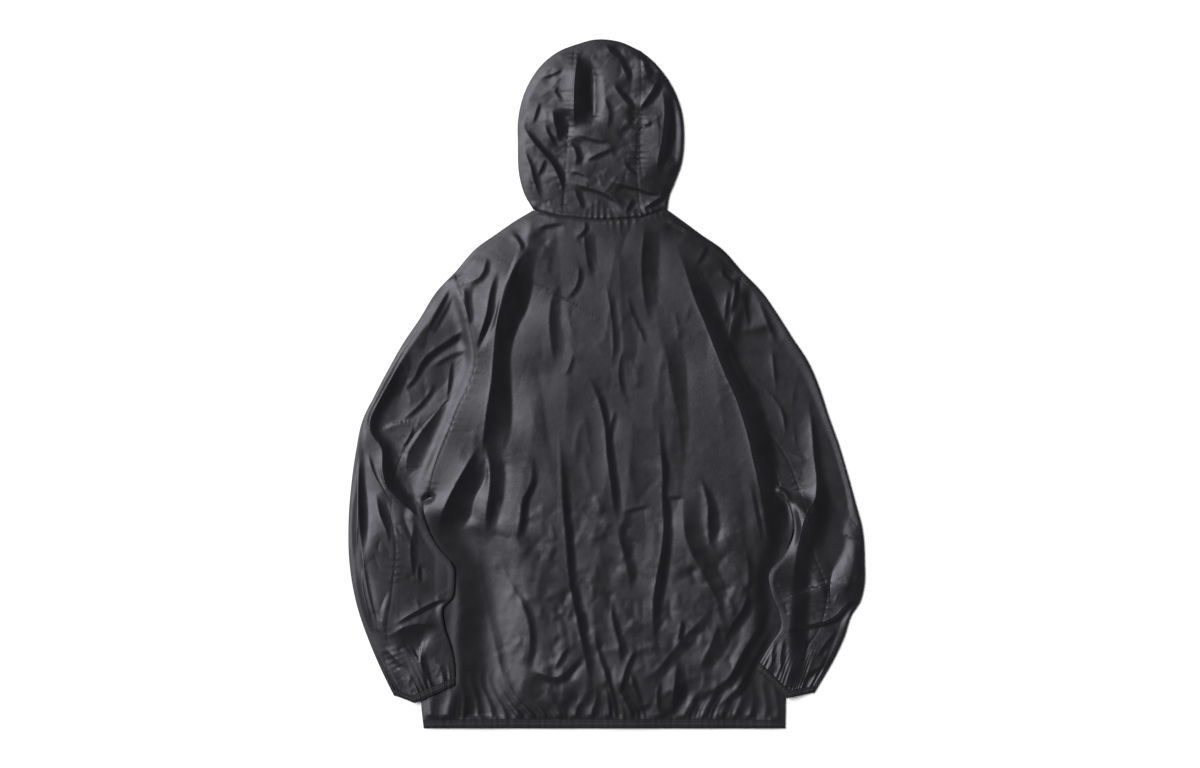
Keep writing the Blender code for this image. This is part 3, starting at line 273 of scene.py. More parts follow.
HOOD_SLOPES = [
    (6, -8, 16, 10, (-37, 964, 12), (-42, 932, 24), (-44, 890, 26), (-44, 865, 26), (-42, 848, 18)),
    (3.4, -4, 18, 10, (-75, 884, 8), (-72, 862, 18), (-68, 845, 15), (-64, 828, 6)),
    (3, -3, 16, 14, (-122, 866, 5), (-108, 842, 8), (-92, 822, 8), (-76, 803, 9), (-64, 780, 8),
     (-59, 752, 5)),
    (2.4, -2.4, 8, 7, (-86, 862, 3), (-80, 842, 6), (-66, 824, 4)),
    (1.8, -2, 10, 14, (-117, 828, 4), (-106, 800, 6), (-100, 775, 8), (-90, 750, 4)),
    (1.4, -1.4, 10, 10, (-84, 812, 3), (-92, 795, 5), (-96, 782, 3)),
    (1.8, -1.6, 8, 8, (-92, 892, 2), (-98, 876, 4), (-103, 858, 2)),
    (1.6, -1.6, 10, 10, (-58, 940, 3), (-76, 930, 5), (-94, 926, 3)),
    (1.6, -1.6, 8, 8, (-66, 915, 2), (-72, 905, 5), (-58, 890, 3)),
    (2, -2, 10, 8, (10, 833, 3), (-15, 838, 6), (-46, 847, 4)),
    (2, -2, 8, 8, (-50, 834, 3), (-40, 818, 8), (-42, 798, 4)),
    (2, -1.6, 8, 10, (16, 826, 3), (-5, 819, 6), (-30, 806, 4)),
    (1.6, -1.6, 6, 6, (-20, 780, 2), (-34, 790, 4), (-52, 792, 3)),
    (2.6, -2.4, 14, 12, (29, 736, 4), (12, 754, 6), (-8, 764, 5), (-30, 771, 5), (-52, 777, 4)),
    (2.4, -2.4, 12, 10, (86, 758, 3), (62, 763, 5), (48, 768, 5), (25, 773, 5), (4, 779, 3)),
    (2.8, -2.4, 12, 6, (11, 917, 3), (22, 900, 7), (36, 885, 6), (45, 877, 3)),
    (3, -3, 10, 10, (78, 926, 7), (66, 905, 10), (54, 888, 7), (46, 876, 3)),
    (-2.4, -2.4, 7, 7, (45, 878, 2), (38, 869, 4), (30, 864, 2)),
    (-1.8, -1.8, 5, 5, (35, 860, 1), (27, 849, 3), (17, 842, 1)),
    (2.4, -3, 10, 10, (52, 960, 7), (56, 940, 14), (63, 922, 7)),
    (3.4, -4, 16, 24, (80, 914, 10), (85, 885, 13), (84, 855, 15), (80, 825, 14), (75, 802, 10),
     (81, 783, 5)),
    (3, -3.6, 14, 8, (94, 772, 4), (80, 756, 12), (62, 744, 12), (50, 734, 5)),
    (1.6, -1.6, 12, 10, (18, 955, 3), (28, 935, 7), (36, 915, 4)),
    (1.6, -1.6, 6, 6, (26, 802, 2), (36, 793, 4), (46, 788, 2)),
    (1.6, -1.8, 10, 10, (40, 756, 4), (34, 744, 6), (28, 730, 4)),
    (1.6, -1.6, 8, 8, (-44, 770, 4), (-38, 752, 7), (-30, 734, 5)),
    (2, -2, 12, 10, (0, 974, 3), (8, 962, 8), (22, 952, 6), (34, 950, 3)),
    (1.4, -1.4, 5, 5, (64, 866, 2), (60, 858, 4), (52, 862, 2)),
    (1.2, -1.2, 12, 14, (-6, 900, 3), (6, 880, 6), (2, 850, 4)),
    (-0.9, 1.2, 12, 14, (54, 900, 6), (52, 870, 20), (50, 830, 24), (52, 790, 20), (56, 772, 6)),
    (-0.8, 1, 8, 12, (-24, 950, 5), (-20, 915, 16), (-18, 880, 14), (-20, 858, 5)),
]

# Small creases all over: how many, their ranges of length, height and half-width, the corners of
# their region and how far they lean
Crinkles = namedtuple("Crinkles", "seed count length height width low high lean")
BODY_CRINKLES = [
    Crinkles(11, 80, (26, 90), (0.2, 0.75), (4, 10), (-240, 30), (240, 715), 0.28),
    Crinkles(12, 130, (9, 30), (0.12, 0.45), (2.5, 5), (-240, 25), (240, 715), 0.8),
    Crinkles(13, 80, (12, 44), (0.4, 1.3), (3, 6), (-170, 30), (30, 330), 0.7),
    Crinkles(14, 240, (8, 30), (0.3, 0.85), (2, 4.2), (-240, 15), (240, 300), 0.7),
    Crinkles(16, 60, (14, 46), (0.4, 1.2), (3, 6), (20, 20), (230, 230), 0.6),
    Crinkles(15, 22, (110, 260), (0.6, 1.5), (18, 34), (-200, 60), (200, 680), 0.12),
]
SLEEVE_CRINKLES = [
    Crinkles(21, 80, (20, 60), (0.3, 1.0), (4, 10), (-370, 60), (370, 640), 0.5),
    Crinkles(22, 150, (8, 24), (0.2, 0.7), (2.5, 5), (-370, 50), (370, 640), 0.9),
    Crinkles(23, 360, (6, 22), (0.15, 0.5), (1.8, 4), (-370, 50), (370, 640), 0.9),
]
HOOD_CRINKLES = [
    Crinkles(31, 36, (14, 46), (0.25, 0.8), (4, 9), (-120, 730), (110, 975), 0.6),
    Crinkles(32, 70, (7, 20), (0.2, 0.55), (2, 5), (-120, 730), (110, 975), 0.9),
    Crinkles(33, 110, (6, 18), (0.15, 0.45), (1.6, 3.6), (-120, 730), (110, 975), 0.9),
]
FRONT_CRINKLES = [
    Crinkles(41, 60, (30, 120), (0.3, 0.9), (5, 14), (-240, 20), (240, 640), 0.35),
]


# ---------------------------------------------------------------- plan helpers

FINE_STEPS = 600  # of a smooth line before its points are spaced evenly


def reach_of(line):
    return np.r_[0, np.cumsum(np.linalg.norm(np.diff(line[:, :2], axis=0), axis=1))]


def at_reach(line, reach, at):
    """Points of a line at some values of its running measure."""
    return np.stack([np.interp(at, reach, line[:, k]) for k in range(line.shape[1])], axis=1)


def even(line, count):
    """Points spaced evenly along a line of straight stretches."""
    line = np.asarray(line, float)
    reach = reach_of(line)
    return at_reach(line, reach, np.linspace(0, reach[-1], count))


def rounded(points, count):
    """Points spaced evenly along a smooth line through the given ones."""
    points = np.asarray(points, float)
    reach = reach_of(points)
    slope = np.gradient(points, reach, axis=0)
    at = np.linspace(0, reach[-1], FINE_STEPS)
    i = np.clip(np.searchsorted(reach, at, side="right") - 1, 0, len(points) - 2)
    span = (reach[i + 1] - reach[i])[:, None]
    t = (at - reach[i])[:, None] / span
    line = (
        (2 * t**3 - 3 * t**2 + 1) * points[i]
        + (t**3 - 2 * t**2 + t) * span * slope[i]
        + (3 * t**2 - 2 * t**3) * points[i + 1]
        + (t**3 - t**2) * span * slope[i + 1]
    )
    return even(line, count)


def unit(vectors):
    return vectors / np.linalg.norm(vectors, axis=-1, keepdims=True)


def inward(line, sign):
    """Unit vectors square to a line: to the right of its direction for sign 1."""
    way = unit(np.gradient(np.asarray(line, float), axis=0))
    return sign * np.stack([way[:, 1], -way[:, 0]], axis=1)


def patch(left, right, bottom, top, across, up):
    """Plan points between four border lines."""
    u, v = np.asarray(across)[None, :, None], np.asarray(up)[:, None, None]
    sides = (1 - u) * left[:, None] + u * right[:, None]
    ends = (1 - v) * bottom[None] + v * top[None]
    low_corners = (1 - u) * bottom[0] + u * bottom[-1]
    high_corners = (1 - u) * top[0] + u * top[-1]
    return sides + ends - (1 - v) * low_corners - v * high_corners


def ease(value):
    value = np.clip(value, 0, 1)
    return value * value * (3 - 2 * value)


def nearest(line, x, y):
    """Signed distance to a line, positive on its left, and how far along it, for each point."""
    line = np.asarray(line, float)
    reach = reach_of(line)
    best = np.full(x.shape, np.inf)
    side, along = np.zeros(x.shape), np.zeros(x.shape)
    for k in range(len(line) - 1):
        (ax, ay), (bx, by) = line[k, :2], line[k + 1, :2]
        dx, dy = bx - ax, by - ay
        length2 = max(dx * dx + dy * dy, 1e-9)
        t = np.clip(((x - ax) * dx + (y - ay) * dy) / length2, 0, 1)
        ox, oy = x - ax - t * dx, y - ay - t * dy
        gap = ox * ox + oy * oy
        closer = gap < best
        best = np.where(closer, gap, best)
        side = np.where(closer, np.sign(dx * (y - ay) - dy * (x - ax)), side)
        along = np.where(closer, reach[k] + t * (reach[k + 1] - reach[k]), along)
    return side * np.sqrt(best), along


def distance(line, x, y):
    return np.abs(nearest(line, x, y)[0])


# ---------------------------------------------------------------- heights

LOFT = 6.5  # how far the cloth lies above its lowest, away from its edges
LOFT_REACH, FOLDS_REACH = 22.0, 10.0  # from an edge to the full loft and the full folds
FLOOR_GAP, FLOOR_SOFT = 1.6, 0.8  # least height of a top layer, and how softly it ends there
SLOPE_SOFT = 2.4  # added to the widths of the tables
SLOPE_STEP = 9  # between the points of a slope's line
SLOPE_REACH = 3.2  # what before and after are multiplied by, where a slope is left out
SLOPE_ENDS = 0.3  # share of its line in which a slope rises, and in which it fades
SLOPE_NARROW = 7  # added to the mean width, which a slope's strength goes down with
RELIEF = 0.95  # share of the tables' heights
CREST_SHARP = (1.3, 1.5, 14.0)  # of the widest, more for the narrowest, and how soon
PINCH, PINCH_WIDTH = 0.07, 2.6  # thin ridge along each crest
CRINKLE_ROUND = 0.8  # of a crinkle's crest
GROOVE, GROOVE_WIDTH = 0.22, 2.0  # of a seam
NECK_GROOVE, NECK_GROOVE_WIDTH = 1.1, 2.6
HELD = 0.35  # share of the hem's gathers at the binding itself

# The step in the sleeves beside the body: where it ends outside of it and its width, and where it
# starts over the underarm and how long it takes
STEP_OUT, STEP_WIDE, STEP_UP, STEP_LONG = 32, 30, 2, 34
# Where the forearms press the body flat: how far beside each, over what breadth that fades, and
# the same for the height at which it ends
PRESS = {"left": (104, 66), "right": (28, 26)}
PRESS_TOP, PRESS_FADE, PRESS_BLUR = 320, 50, 6
CLIMB = ((-8, 2, 40, 95), (2.2, 3.6, -2.4, 0))  # of the cloth beside the left one

# Puckers of a seam: their spacing, height, reach to its sides, and a shift between seams
PUCKERS = {
    "armhole": (11, 0.8, 9, 0.4),
    "neck on the back": (10, 0.9, 9, 1.1),
    "neck on the hood": (10, 1.2, 10, 2.1),
    "arm": (9, 0.65, 8, 0.9),
    "hood left": (8, 1.2, 7, 0.5),
    "hood right": (8, 1.2, 7, 1.5),
}
FOREARM_EDGES = {
    "left": [(-264, 305), (-238, 258), (-215, 220), (-209, 180), (-212, 130), (-212, 60),
             (-228, 10)],
    "right": [(264, 305), (252, 250), (238, 215), (238, 175), (236, 125), (216, 84), (228, 10)],
}
UNDERARM = {side: lines.side[0][1] for side, lines in OUTLINES.items()}


def slopes(table, x, y):
    """Height that a table of slopes adds at each point."""
    total = np.zeros(x.shape)
    for high, low, before, after, *points in table:
        count = max(4, int(reach_of(np.asarray(points, float))[-1] / SLOPE_STEP))
        line = rounded(points, count)
        margin = SLOPE_REACH * max(before, after) + line[:, 2].max()
        (left, low_y), (right, high_y) = line[:, :2].min(0) - margin, line[:, :2].max(0) + margin
        near = (x > left) & (x < right) & (y > low_y) & (y < high_y)
        if not near.any():
            continue
        off, along = nearest(line, x[near], y[near])
        reach = reach_of(line)
        width = np.interp(along, reach, line[:, 2]) + SLOPE_SOFT
        share = along / reach[-1]
        strength = ease(share / SLOPE_ENDS) * ease((1 - share) / SLOPE_ENDS)
        mean = line[:, 2].mean() + SLOPE_SOFT
        strength *= RELIEF * width / (mean + SLOPE_NARROW)
        inside = np.clip(off / width, 0, 1)
        least, more, scale = CREST_SHARP
        fall = 1 - (1 - inside) ** (least + more * np.exp(-width / scale))
        value = high + (low - high) * fall
        value *= np.exp(np.minimum(off, 0) / before)
        value *= np.exp(-np.maximum(off - width, 0) / after)
        value += PINCH * (high - low) * np.exp(-np.abs(off) / PINCH_WIDTH)
        total[near] += value * strength
    return total


def crinkles(tables, x, y):
    """Small sharp creases placed by a fixed seed."""
    total = np.zeros(x.shape)
    for kind in tables:
        chance = np.random.default_rng(kind.seed)
        for _ in range(kind.count):
            cx, cy = chance.uniform(kind.low, kind.high)
            turn = chance.normal(0, kind.lean)
            length, width = chance.uniform(*kind.length), chance.uniform(*kind.width)
            height = chance.uniform(*kind.height) * chance.choice((-1.0, 1.0))
            bend, skew = chance.uniform(-0.3, 0.3), chance.uniform(0.5, 2.0)
            reach = length / 2 + 6 * width
            near = (np.abs(x - cx) < reach) & (np.abs(y - cy) < reach)
            if not near.any():
                continue
            ox, oy = x[near] - cx, y[near] - cy
            along = ox * np.sin(turn) + oy * np.cos(turn)
            off = ox * np.cos(turn) - oy * np.sin(turn) + bend * along * along / length
            off = np.sqrt(off * off + CRINKLE_ROUND) * np.where(off < 0, 1 / width, skew / width)
            fade = ease((length / 2 + width - np.abs(along)) / (length * 0.35))
            total[near] += height * fade * np.exp(-off)
    return total


def ridges(phase):
    """Waves with sharp tops, one to each whole step of the phase."""
    return 1 - 1.9 * np.abs(np.sin(np.pi * phase))


def pucker(line, x, y, seam):
    """Waves drawn up across a seam, and the groove of the seam itself."""
    spacing, height, reach, shift = PUCKERS[seam]
    off, along = nearest(line, x, y)
    off, turns = np.abs(off), along / spacing
    phase = turns * np.pi + 0.9 * np.sin(turns * 0.61 + shift)
    phase = phase + 0.7 * np.sin(turns * 0.23 + 2 * shift)
    wave = 1 - 1.7 * np.abs(np.sin(phase))
    uneven = 0.55 + 0.45 * np.sin(turns * 0.37 + 1.3 + shift)
    own_reach = reach * (0.6 + 0.4 * np.sin(turns * 0.9 + 3 * shift))
    puckered = height * wave * uneven * np.exp(-off / own_reach) * (off / (off + 1.2))
    return puckered - GROOVE * np.exp(-((off / GROOVE_WIDTH) ** 2))


def blurred(height, times=1):
    """Each point taken part of the way to the mean of its neighbours."""
    for _ in range(times):
        wide = np.pad(height, 1, mode="edge")
        height = (
            4 * wide[1:-1, 1:-1]
            + 2 * (wide[:-2, 1:-1] + wide[2:, 1:-1] + wide[1:-1, :-2] + wide[1:-1, 2:])
            + wide[:-2, :-2] + wide[2:, 2:] + wide[:-2, 2:] + wide[2:, :-2]
        ) / 16
    return height


def lifted(field, edge_gap, base, loft):
    """Top layer: base where it turns under, lofted inside, and never down to the layer under."""
    height = base + LAID + loft * (1 - np.exp(-edge_gap / LOFT_REACH))
    height = height + field * ease(edge_gap / FOLDS_REACH)
    least = base + FLOOR_GAP
    return least + np.logaddexp(0, (height - least) / FLOOR_SOFT) * FLOOR_SOFT


def side_x(side, y):
    line = rounded(OUTLINES[side].side, 60)[::-1]
    return np.interp(y, line[:, 1], line[:, 0])


def rest_height(side, x, y):
    """Height of what a sleeve lies on: the body below the underarm, else the ground."""
    outside = -SIGN[side] * (x - side_x(side, y))
    across = ease((STEP_OUT - outside) / STEP_WIDE)
    return STACK * across * ease((UNDERARM[side] + STEP_UP - y) / STEP_LONG)


def forearm_cover(x, y):
    """1 where a forearm presses the body flat, and how far the cloth climbs beside it."""
    low = ease((PRESS_TOP - y) / PRESS_FADE)
    off = {side: SIGN[side] * nearest(rounded(FOREARM_EDGES[side], 40), x, y)[0] for side in PRESS}
    cover = np.maximum(*(ease((far - off[side]) / fade) for side, (far, fade) in PRESS.items()))
    climb = np.interp(off["left"], *CLIMB)
    return blurred(cover * low, PRESS_BLUR), blurred(climb * low, PRESS_BLUR)


def hem_gathers(x, y):
    """Folds that the elastic draws up from the hem: many short ones, and some longer."""
    up = np.maximum(y - BINDING, 0)
    lean = 0.5 * np.sin(x / 43 + 2.2 * np.sin(x / 97)) + 0.3 * np.tanh((45 - x) / 110)
    u = x + lean * np.minimum(up, 60) + 2.5 * np.sin(y / 9 + x / 31)
    fine = ridges(u / 5.1 + 1.1 * np.sin(u / 17)) * np.exp(-up / 6)
    strength = 0.6 + 0.4 * np.sin(u / 21 + 0.6)
    fade = np.exp(-up / (12 + 7 * np.sin(u / 17)))
    short = ridges(u / 8.6 + 0.9 * np.sin(u / 29) + 0.6 * np.sin(u / 11.3 + 1))
    short *= 1.4 * strength * fade
    fade = np.exp(-up / (34 + 14 * np.sin(u / 37)))
    long = 1.6 * ridges(u / 24 + 0.8 * np.sin(u / 61 + 2)) * fade
    held = HELD + (1 - HELD) * ease(up / 9)
    return held * (0.5 * fine + short + long)


# ---------------------------------------------------------------- shells


def to_row(points):
    return (points - (*CENTRE, 0)) * METRES


def with_height(plan, height):
    height = np.broadcast_to(height, plan.shape[:-1])[..., None]
    return np.concatenate([plan, height], axis=-1)


def turned_edge(inner, turn, base=0.0):
    """Points over an edge where cloth turns under, from the top layer to the bottom one."""
    angle = np.linspace(0, np.pi, ROLL_STEPS + 1)[None, :, None]
    plan = inner[:, None] + np.sin(angle) * turn[:, None]
    return with_height(plan, np.reshape(base, (-1, 1)) + ROLL + ROLL * np.cos(angle[..., 0]))


def steps_in(count):
    """How many columns each column is in from the nearer side."""
    return np.minimum(np.arange(count), np.arange(count)[::-1])


def add_piece(name, data, material):
    piece = bpy.data.objects.new(name, data)
    bpy.context.scene.collection.objects.link(piece)
    data.materials.append(material)
    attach(piece, "jacket")
    return piece


class Shell:
    """A sheet put together from grids of points."""

    def __init__(self, *grids, ring=False):
        self.points, self.faces, self.count = [], [], 0
        for grid in grids:
            self.add(grid, ring)

    def add(self, points, ring=False):
        rows, columns = points.shape[:2]
        number = self.count + np.arange(rows * columns).reshape(rows, columns)
        if ring:
            number = np.concatenate([number, number[:, :1]], axis=1)
        corners = (number[:-1, :-1], number[:-1, 1:], number[1:, 1:], number[1:, :-1])
        self.faces.append(np.stack(corners, axis=-1).reshape(-1, 4))
        self.points.append(points.reshape(-1, 3))
        self.count += rows * columns

    def mesh(self, name, faces_down):
        """Welds the grids where they meet and turns every face out."""
        points = to_row(np.vstack(self.points))
        _, first, place = np.unique(
            np.round(points, 5), axis=0, return_index=True, return_inverse=True
        )
        faces = place.reshape(-1)[np.vstack(self.faces)]
        data = bpy.data.meshes.new(name)
        data.from_pydata(points[first], [], faces.tolist())
        data.validate()
        mesh = bmesh.new()
        mesh.from_mesh(data)
        bmesh.ops.recalc_face_normals(mesh, faces=mesh.faces)
        highest = max(mesh.faces, key=lambda f: f.calc_center_median().z * f.normal.z**2)
        if (highest.normal.z < 0) != faces_down:
            bmesh.ops.reverse_faces(mesh, faces=mesh.faces)
        mesh.to_mesh(data)
        mesh.free()
        data.shade_smooth()
        return data

    def cloth(self, name, material, faces_down=False):
        return add_piece(name, self.mesh(name, faces_down), material)

    def binding(self, name, material, faces_down=False):
        piece = add_piece(name, self.mesh(name, faces_down), material)
        solid = piece.modifiers.new("Wall", "SOLIDIFY")
        solid.thickness = BINDING_WALL * METRES
        solid.offset = -1.0
        return piece


def add_bars(name, centres, ways, size, material):
    """Many short rounded bars in one mesh, such as stitches or teeth, each along its way."""
    ways = unit(ways)
    across = unit(np.cross(ways, (0.0, 0.0, 1.0)))
    up = np.cross(across, ways)
    length, width, height = np.asarray(size) / 2
    points = [centres - ways * length]
    for end in (-0.62, 0.62):
        for a, b in ((-1, 0), (0, 1), (1, 0), (0, -1)):
            points.append(centres + ways * length * end + across * width * a + up * height * b)
    points.append(centres + ways * length)
    faces = []
    for k in range(4):
        after = (k + 1) % 4
        faces += [(0, 1 + after, 1 + k), (9, 5 + k, 5 + after)]
        faces.append((1 + k, 1 + after, 5 + after, 5 + k))
    every = [[len(points) * n + k for k in face] for n in range(len(centres)) for face in faces]
    data = bpy.data.meshes.new(name)
    data.from_pydata(to_row(np.stack(points, axis=1).reshape(-1, 3)), [], every)
    data.shade_smooth()
    return add_piece(name, data, material)


def add_stitches(name, line, material):
    """Stitches of a seam that lies on the given points."""
    count = int(reach_of(line)[-1] / STITCH_PITCH)
    reach = np.r_[0, np.cumsum(np.linalg.norm(np.diff(line, axis=0), axis=1))]
    at = (np.arange(count) + 0.5) * reach[-1] / count
    centres = at_reach(line, reach, at) + (0, 0, STITCH_LIFT)
    ways = at_reach(line, reach, at + 0.5) - at_reach(line, reach, at - 0.5)
    return add_bars(name, centres, ways, STITCH_SIZE, material)


def dress(node, material):
    """Gives a CAD node that stays its material."""
    if not node.material_slots:
        node.data.materials.append(material)
    for slot in node.material_slots:
        slot.material = material


# ---------------------------------------------------------------- shared seams


def shoulder_turn(side):
    line = rounded(OUTLINES[side].armhole, 400)
    along = unit(line[20] - line[0])
    square = inward(rounded(OUTLINES[side].shoulder, 60), -SIGN[side])[-1]
    return -along * ROLL / abs(along @ square)


def armhole_line(side, count):
    """The armhole seam from the shoulder to the underarm, inside the turned edges."""
    line = rounded(OUTLINES[side].armhole, 400)
    start = line[0] - shoulder_turn(side)
    keep = line[line[:, 1] < start[1]]
    return even(np.vstack([start, keep]), count)


def neck_end(side):
    return np.add(OUTLINES[side].shoulder[0], NECK_END_TURN[side])


def neck_line(side_steps, middle_steps):
    first = even([neck_end("left"), NECK[0]], side_steps + 1)
    last = even([NECK[-1], neck_end("right")], side_steps + 1)
    return np.vstack([first[:-1], rounded(NECK, middle_steps + 1), last[1:]])


def neckline(side, count):
    return rounded([neck_end(side), *OUTLINES[side].neckline], count)


ARMHOLES = {side: armhole_line(side, 60) for side in OUTLINES}
NECK_SEAM = neck_line(4, 16)


# ---------------------------------------------------------------- body

PRESSED_FOLDS = 0.8  # share of the back's folds that a forearm takes away
HEM_LOFT, HEM_LOFT_REACH = 0.2, 70  # share of the loft at the hem, and where it is whole
HEM_SEAM_REACH = 8  # over which the back comes up from the binding
GATHER_LIFT, GATHER_TOP, GATHER_FADE = 0.8, 110, 60
GATHERS_PRESSED = 0.5
BAND_BULGE = 0.9

class Body:
    """Fine version of the part's body: rows run from the hem to the shoulder."""

    shoulder_steps, neck_side_steps, neck_steps = 60, 18, 84
    hem_rows, side_rows, arm_rows = 7, 150, 160

    def __init__(self):
        columns = 2 * (self.shoulder_steps + self.neck_side_steps) + self.neck_steps
        self.plan = {side: self.side_points(side) for side in OUTLINES}
        left, right = (self.plan[side][0] for side in OUTLINES)
        height = left[:, 1] / 2 + right[:, 1] / 2
        self.up = (height - height[0]) / (height[-1] - height[0])
        shoulders = [self.shoulder_points(side)[0] for side in OUTLINES]
        neck = neck_line(self.neck_side_steps, self.neck_steps)
        top = np.vstack([shoulders[0][::-1][:-1], neck, shoulders[1][1:]])
        bottom = even([left[0], right[0]], columns + 1)
        self.grid = patch(left, right, bottom, top, np.linspace(0, 1, columns + 1), self.up)
        self.underarm_row = self.hem_rows + self.side_rows - 1

    def side_points(self, side):
        """Points of a side and its armhole, and what turns the cloth under at each."""
        edge = rounded(OUTLINES[side].side, 400)[::-1]
        reach = reach_of(edge)
        hem = np.linspace(0, BINDING, self.hem_rows)
        plain = np.linspace(BINDING, reach[-1], self.side_rows + 1)[1:]
        edge = at_reach(edge, reach, [*hem, *plain])
        way_in = inward(edge, SIGN[side]) * ROLL
        arm = armhole_line(side, self.arm_rows + 1)
        points = np.vstack([edge + way_in, arm[::-1][1:]])
        return points, np.vstack([-way_in, np.zeros((self.arm_rows, 2))])

    def shoulder_points(self, side):
        line = rounded(OUTLINES[side].shoulder, self.shoulder_steps + 1)
        way_in = inward(line, -SIGN[side]) * ROLL
        way_in[0] = NECK_END_TURN[side]
        way_in[-1] = -shoulder_turn(side)
        return line + way_in, -way_in

    def side_seam(self, side):
        """Where the front is sewn to what the back turns under, less and less to the underarm."""
        points, turns = self.plan[side]
        rise = points[self.underarm_row, 1] - points[:, 1]
        width = 1 + (TURN_UNDER - 1) * ease(rise / 60)
        length = np.maximum(np.linalg.norm(turns, axis=1), 1e-9)[:, None]
        return points + -turns / length * width[:, None]

    def side_strip(self, side, first, last):
        points, turns = self.plan[side]
        rows = np.arange(first, last + 1)
        end = with_height(self.side_seam(side)[rows], 0)[:, None]
        return np.concatenate([turned_edge(points[rows], turns[rows]), end], axis=1)

    def shoulder_seam(self, side):
        points, turns = self.shoulder_points(side)
        width = TURN_UNDER - ROLL
        end = points - unit(turns) * width
        for k, line in ((0, neckline(side, 40)), (-1, ARMHOLES[side])):
            end[k] = at_reach(line, reach_of(line), [width])[0]
        return end

    def shoulder_strip(self, side):
        end = with_height(self.shoulder_seam(side), 0)[:, None]
        return np.concatenate([turned_edge(*self.shoulder_points(side)), end], axis=1)

    def edge_gap(self, x, y):
        """Distance to the nearest edge where the back turns under."""
        gap = np.full(x.shape, np.inf)
        for side in OUTLINES:
            low = self.plan[side][0][: self.underarm_row + 1 : 6]
            gap = np.minimum(gap, distance(low, x, y))
            gap = np.minimum(gap, distance(self.shoulder_points(side)[0][::6], x, y))
        return gap

    def height(self, x, y):
        """Height of the back, which the sleeves and the hood share at their seams."""
        field = slopes(BODY_SLOPES, x, y) + blurred(crinkles(BODY_CRINKLES, x, y))
        cover, climb = forearm_cover(x, y)
        field *= 1 - PRESSED_FOLDS * cover
        loft = HEM_LOFT + (1 - HEM_LOFT) * ease((y - BINDING) / HEM_LOFT_REACH)
        loft = LOFT * (1 - cover) * loft
        height = lifted(field + climb, self.edge_gap(x, y), 0.0, loft)
        for side in OUTLINES:
            height += pucker(ARMHOLES[side], x, y, "armhole")
        groove = NECK_GROOVE * np.exp(-((distance(NECK_SEAM, x, y) / NECK_GROOVE_WIDTH) ** 2))
        return height - groove * ease(self.edge_gap(x, y) / 8)


def band_top(x, gap):
    """Height of the hem's binding where the back is sewn to it."""
    ripple = 0.35 * np.sin(x / 1.6 + 1.8 * np.sin(x / 13)) * np.sin(x / 7.3 + 1)
    sway = 1.4 + 0.8 * np.sin(x / 23) * np.sin(x / 57 + 1)
    return LAID + (sway + ripple) * ease(gap / 10)


def make_back(body, cloth):
    first = body.hem_rows - 1
    plan = body.grid[first:]
    x, y = plan[..., 0], plan[..., 1]
    height = body.height(x, y) + pucker(NECK_SEAM, x, y, "neck on the back")
    gathers = hem_gathers(x, y) * (1 - GATHERS_PRESSED * forearm_cover(x, y)[0])
    gap = steps_in(x.shape[1])
    height += (gathers + GATHER_LIFT) * ease(gap / 8) * ease((GATHER_TOP - y) / GATHER_FADE)
    seam = band_top(x, gap)
    height = seam + (height - seam) * ease((y - BINDING) / HEM_SEAM_REACH)
    height[: body.underarm_row - first + 1, (0, -1)] = LAID
    height[-1, : body.shoulder_steps + 1] = LAID
    height[-1, -body.shoulder_steps - 1 :] = LAID
    shell = Shell(with_height(plan, height))
    for side in OUTLINES:
        shell.add(body.side_strip(side, first, body.underarm_row))
        shell.add(body.shoulder_strip(side))
    piece = shell.cloth("back", cloth)
    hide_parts("back_panel")


def make_hem_binding(body, elastic, thread):
    plan = body.grid[: body.hem_rows]
    x, y = plan[..., 0], plan[..., 1]
    gap = steps_in(x.shape[1])
    height = band_top(x, gap)
    height += BAND_BULGE * np.sin(np.pi * np.clip(y / BINDING, 0, 1)) * ease(gap / 6)
    height[:, (0, -1)] = LAID
    top = with_height(plan, height)
    shell = Shell(top, *(body.side_strip(side, 0, body.hem_rows - 1) for side in OUTLINES))
    piece = shell.binding("hem_binding", elastic)
    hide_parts("hem_binding_back")
    stitches = add_stitches("hem_stitches", top[body.hem_rows // 2], thread)


# ---------------------------------------------------------------- fronts

FRONT_EDGE = 5.0  # of a front, from the middle of the zip
FRONT_EDGE_LIFT = 3.6
FRONT_STEPS, FRONT_SHARE = 20, 0.55  # columns below the neck, and where they start across
TAPE_MIDDLE = 2.05  # height of the middle of the tapes
TOOTH_PITCH, TOOTH_OFF, TOOTH_SIZE = 1.7, 0.8, (3.8, 0.9, 1.1)
FIRST_TOOTH = 14.0
SLIDER_Y, PULL_LENGTH = 632.0, 22.0


def front_height(x, y):
    across = ease((30 - np.abs(x)) / 18)
    along = ease((54 - np.abs(y - SLIDER_Y + PULL_LENGTH / 2)) / 16)
    return FRONT_EDGE_LIFT * across * along


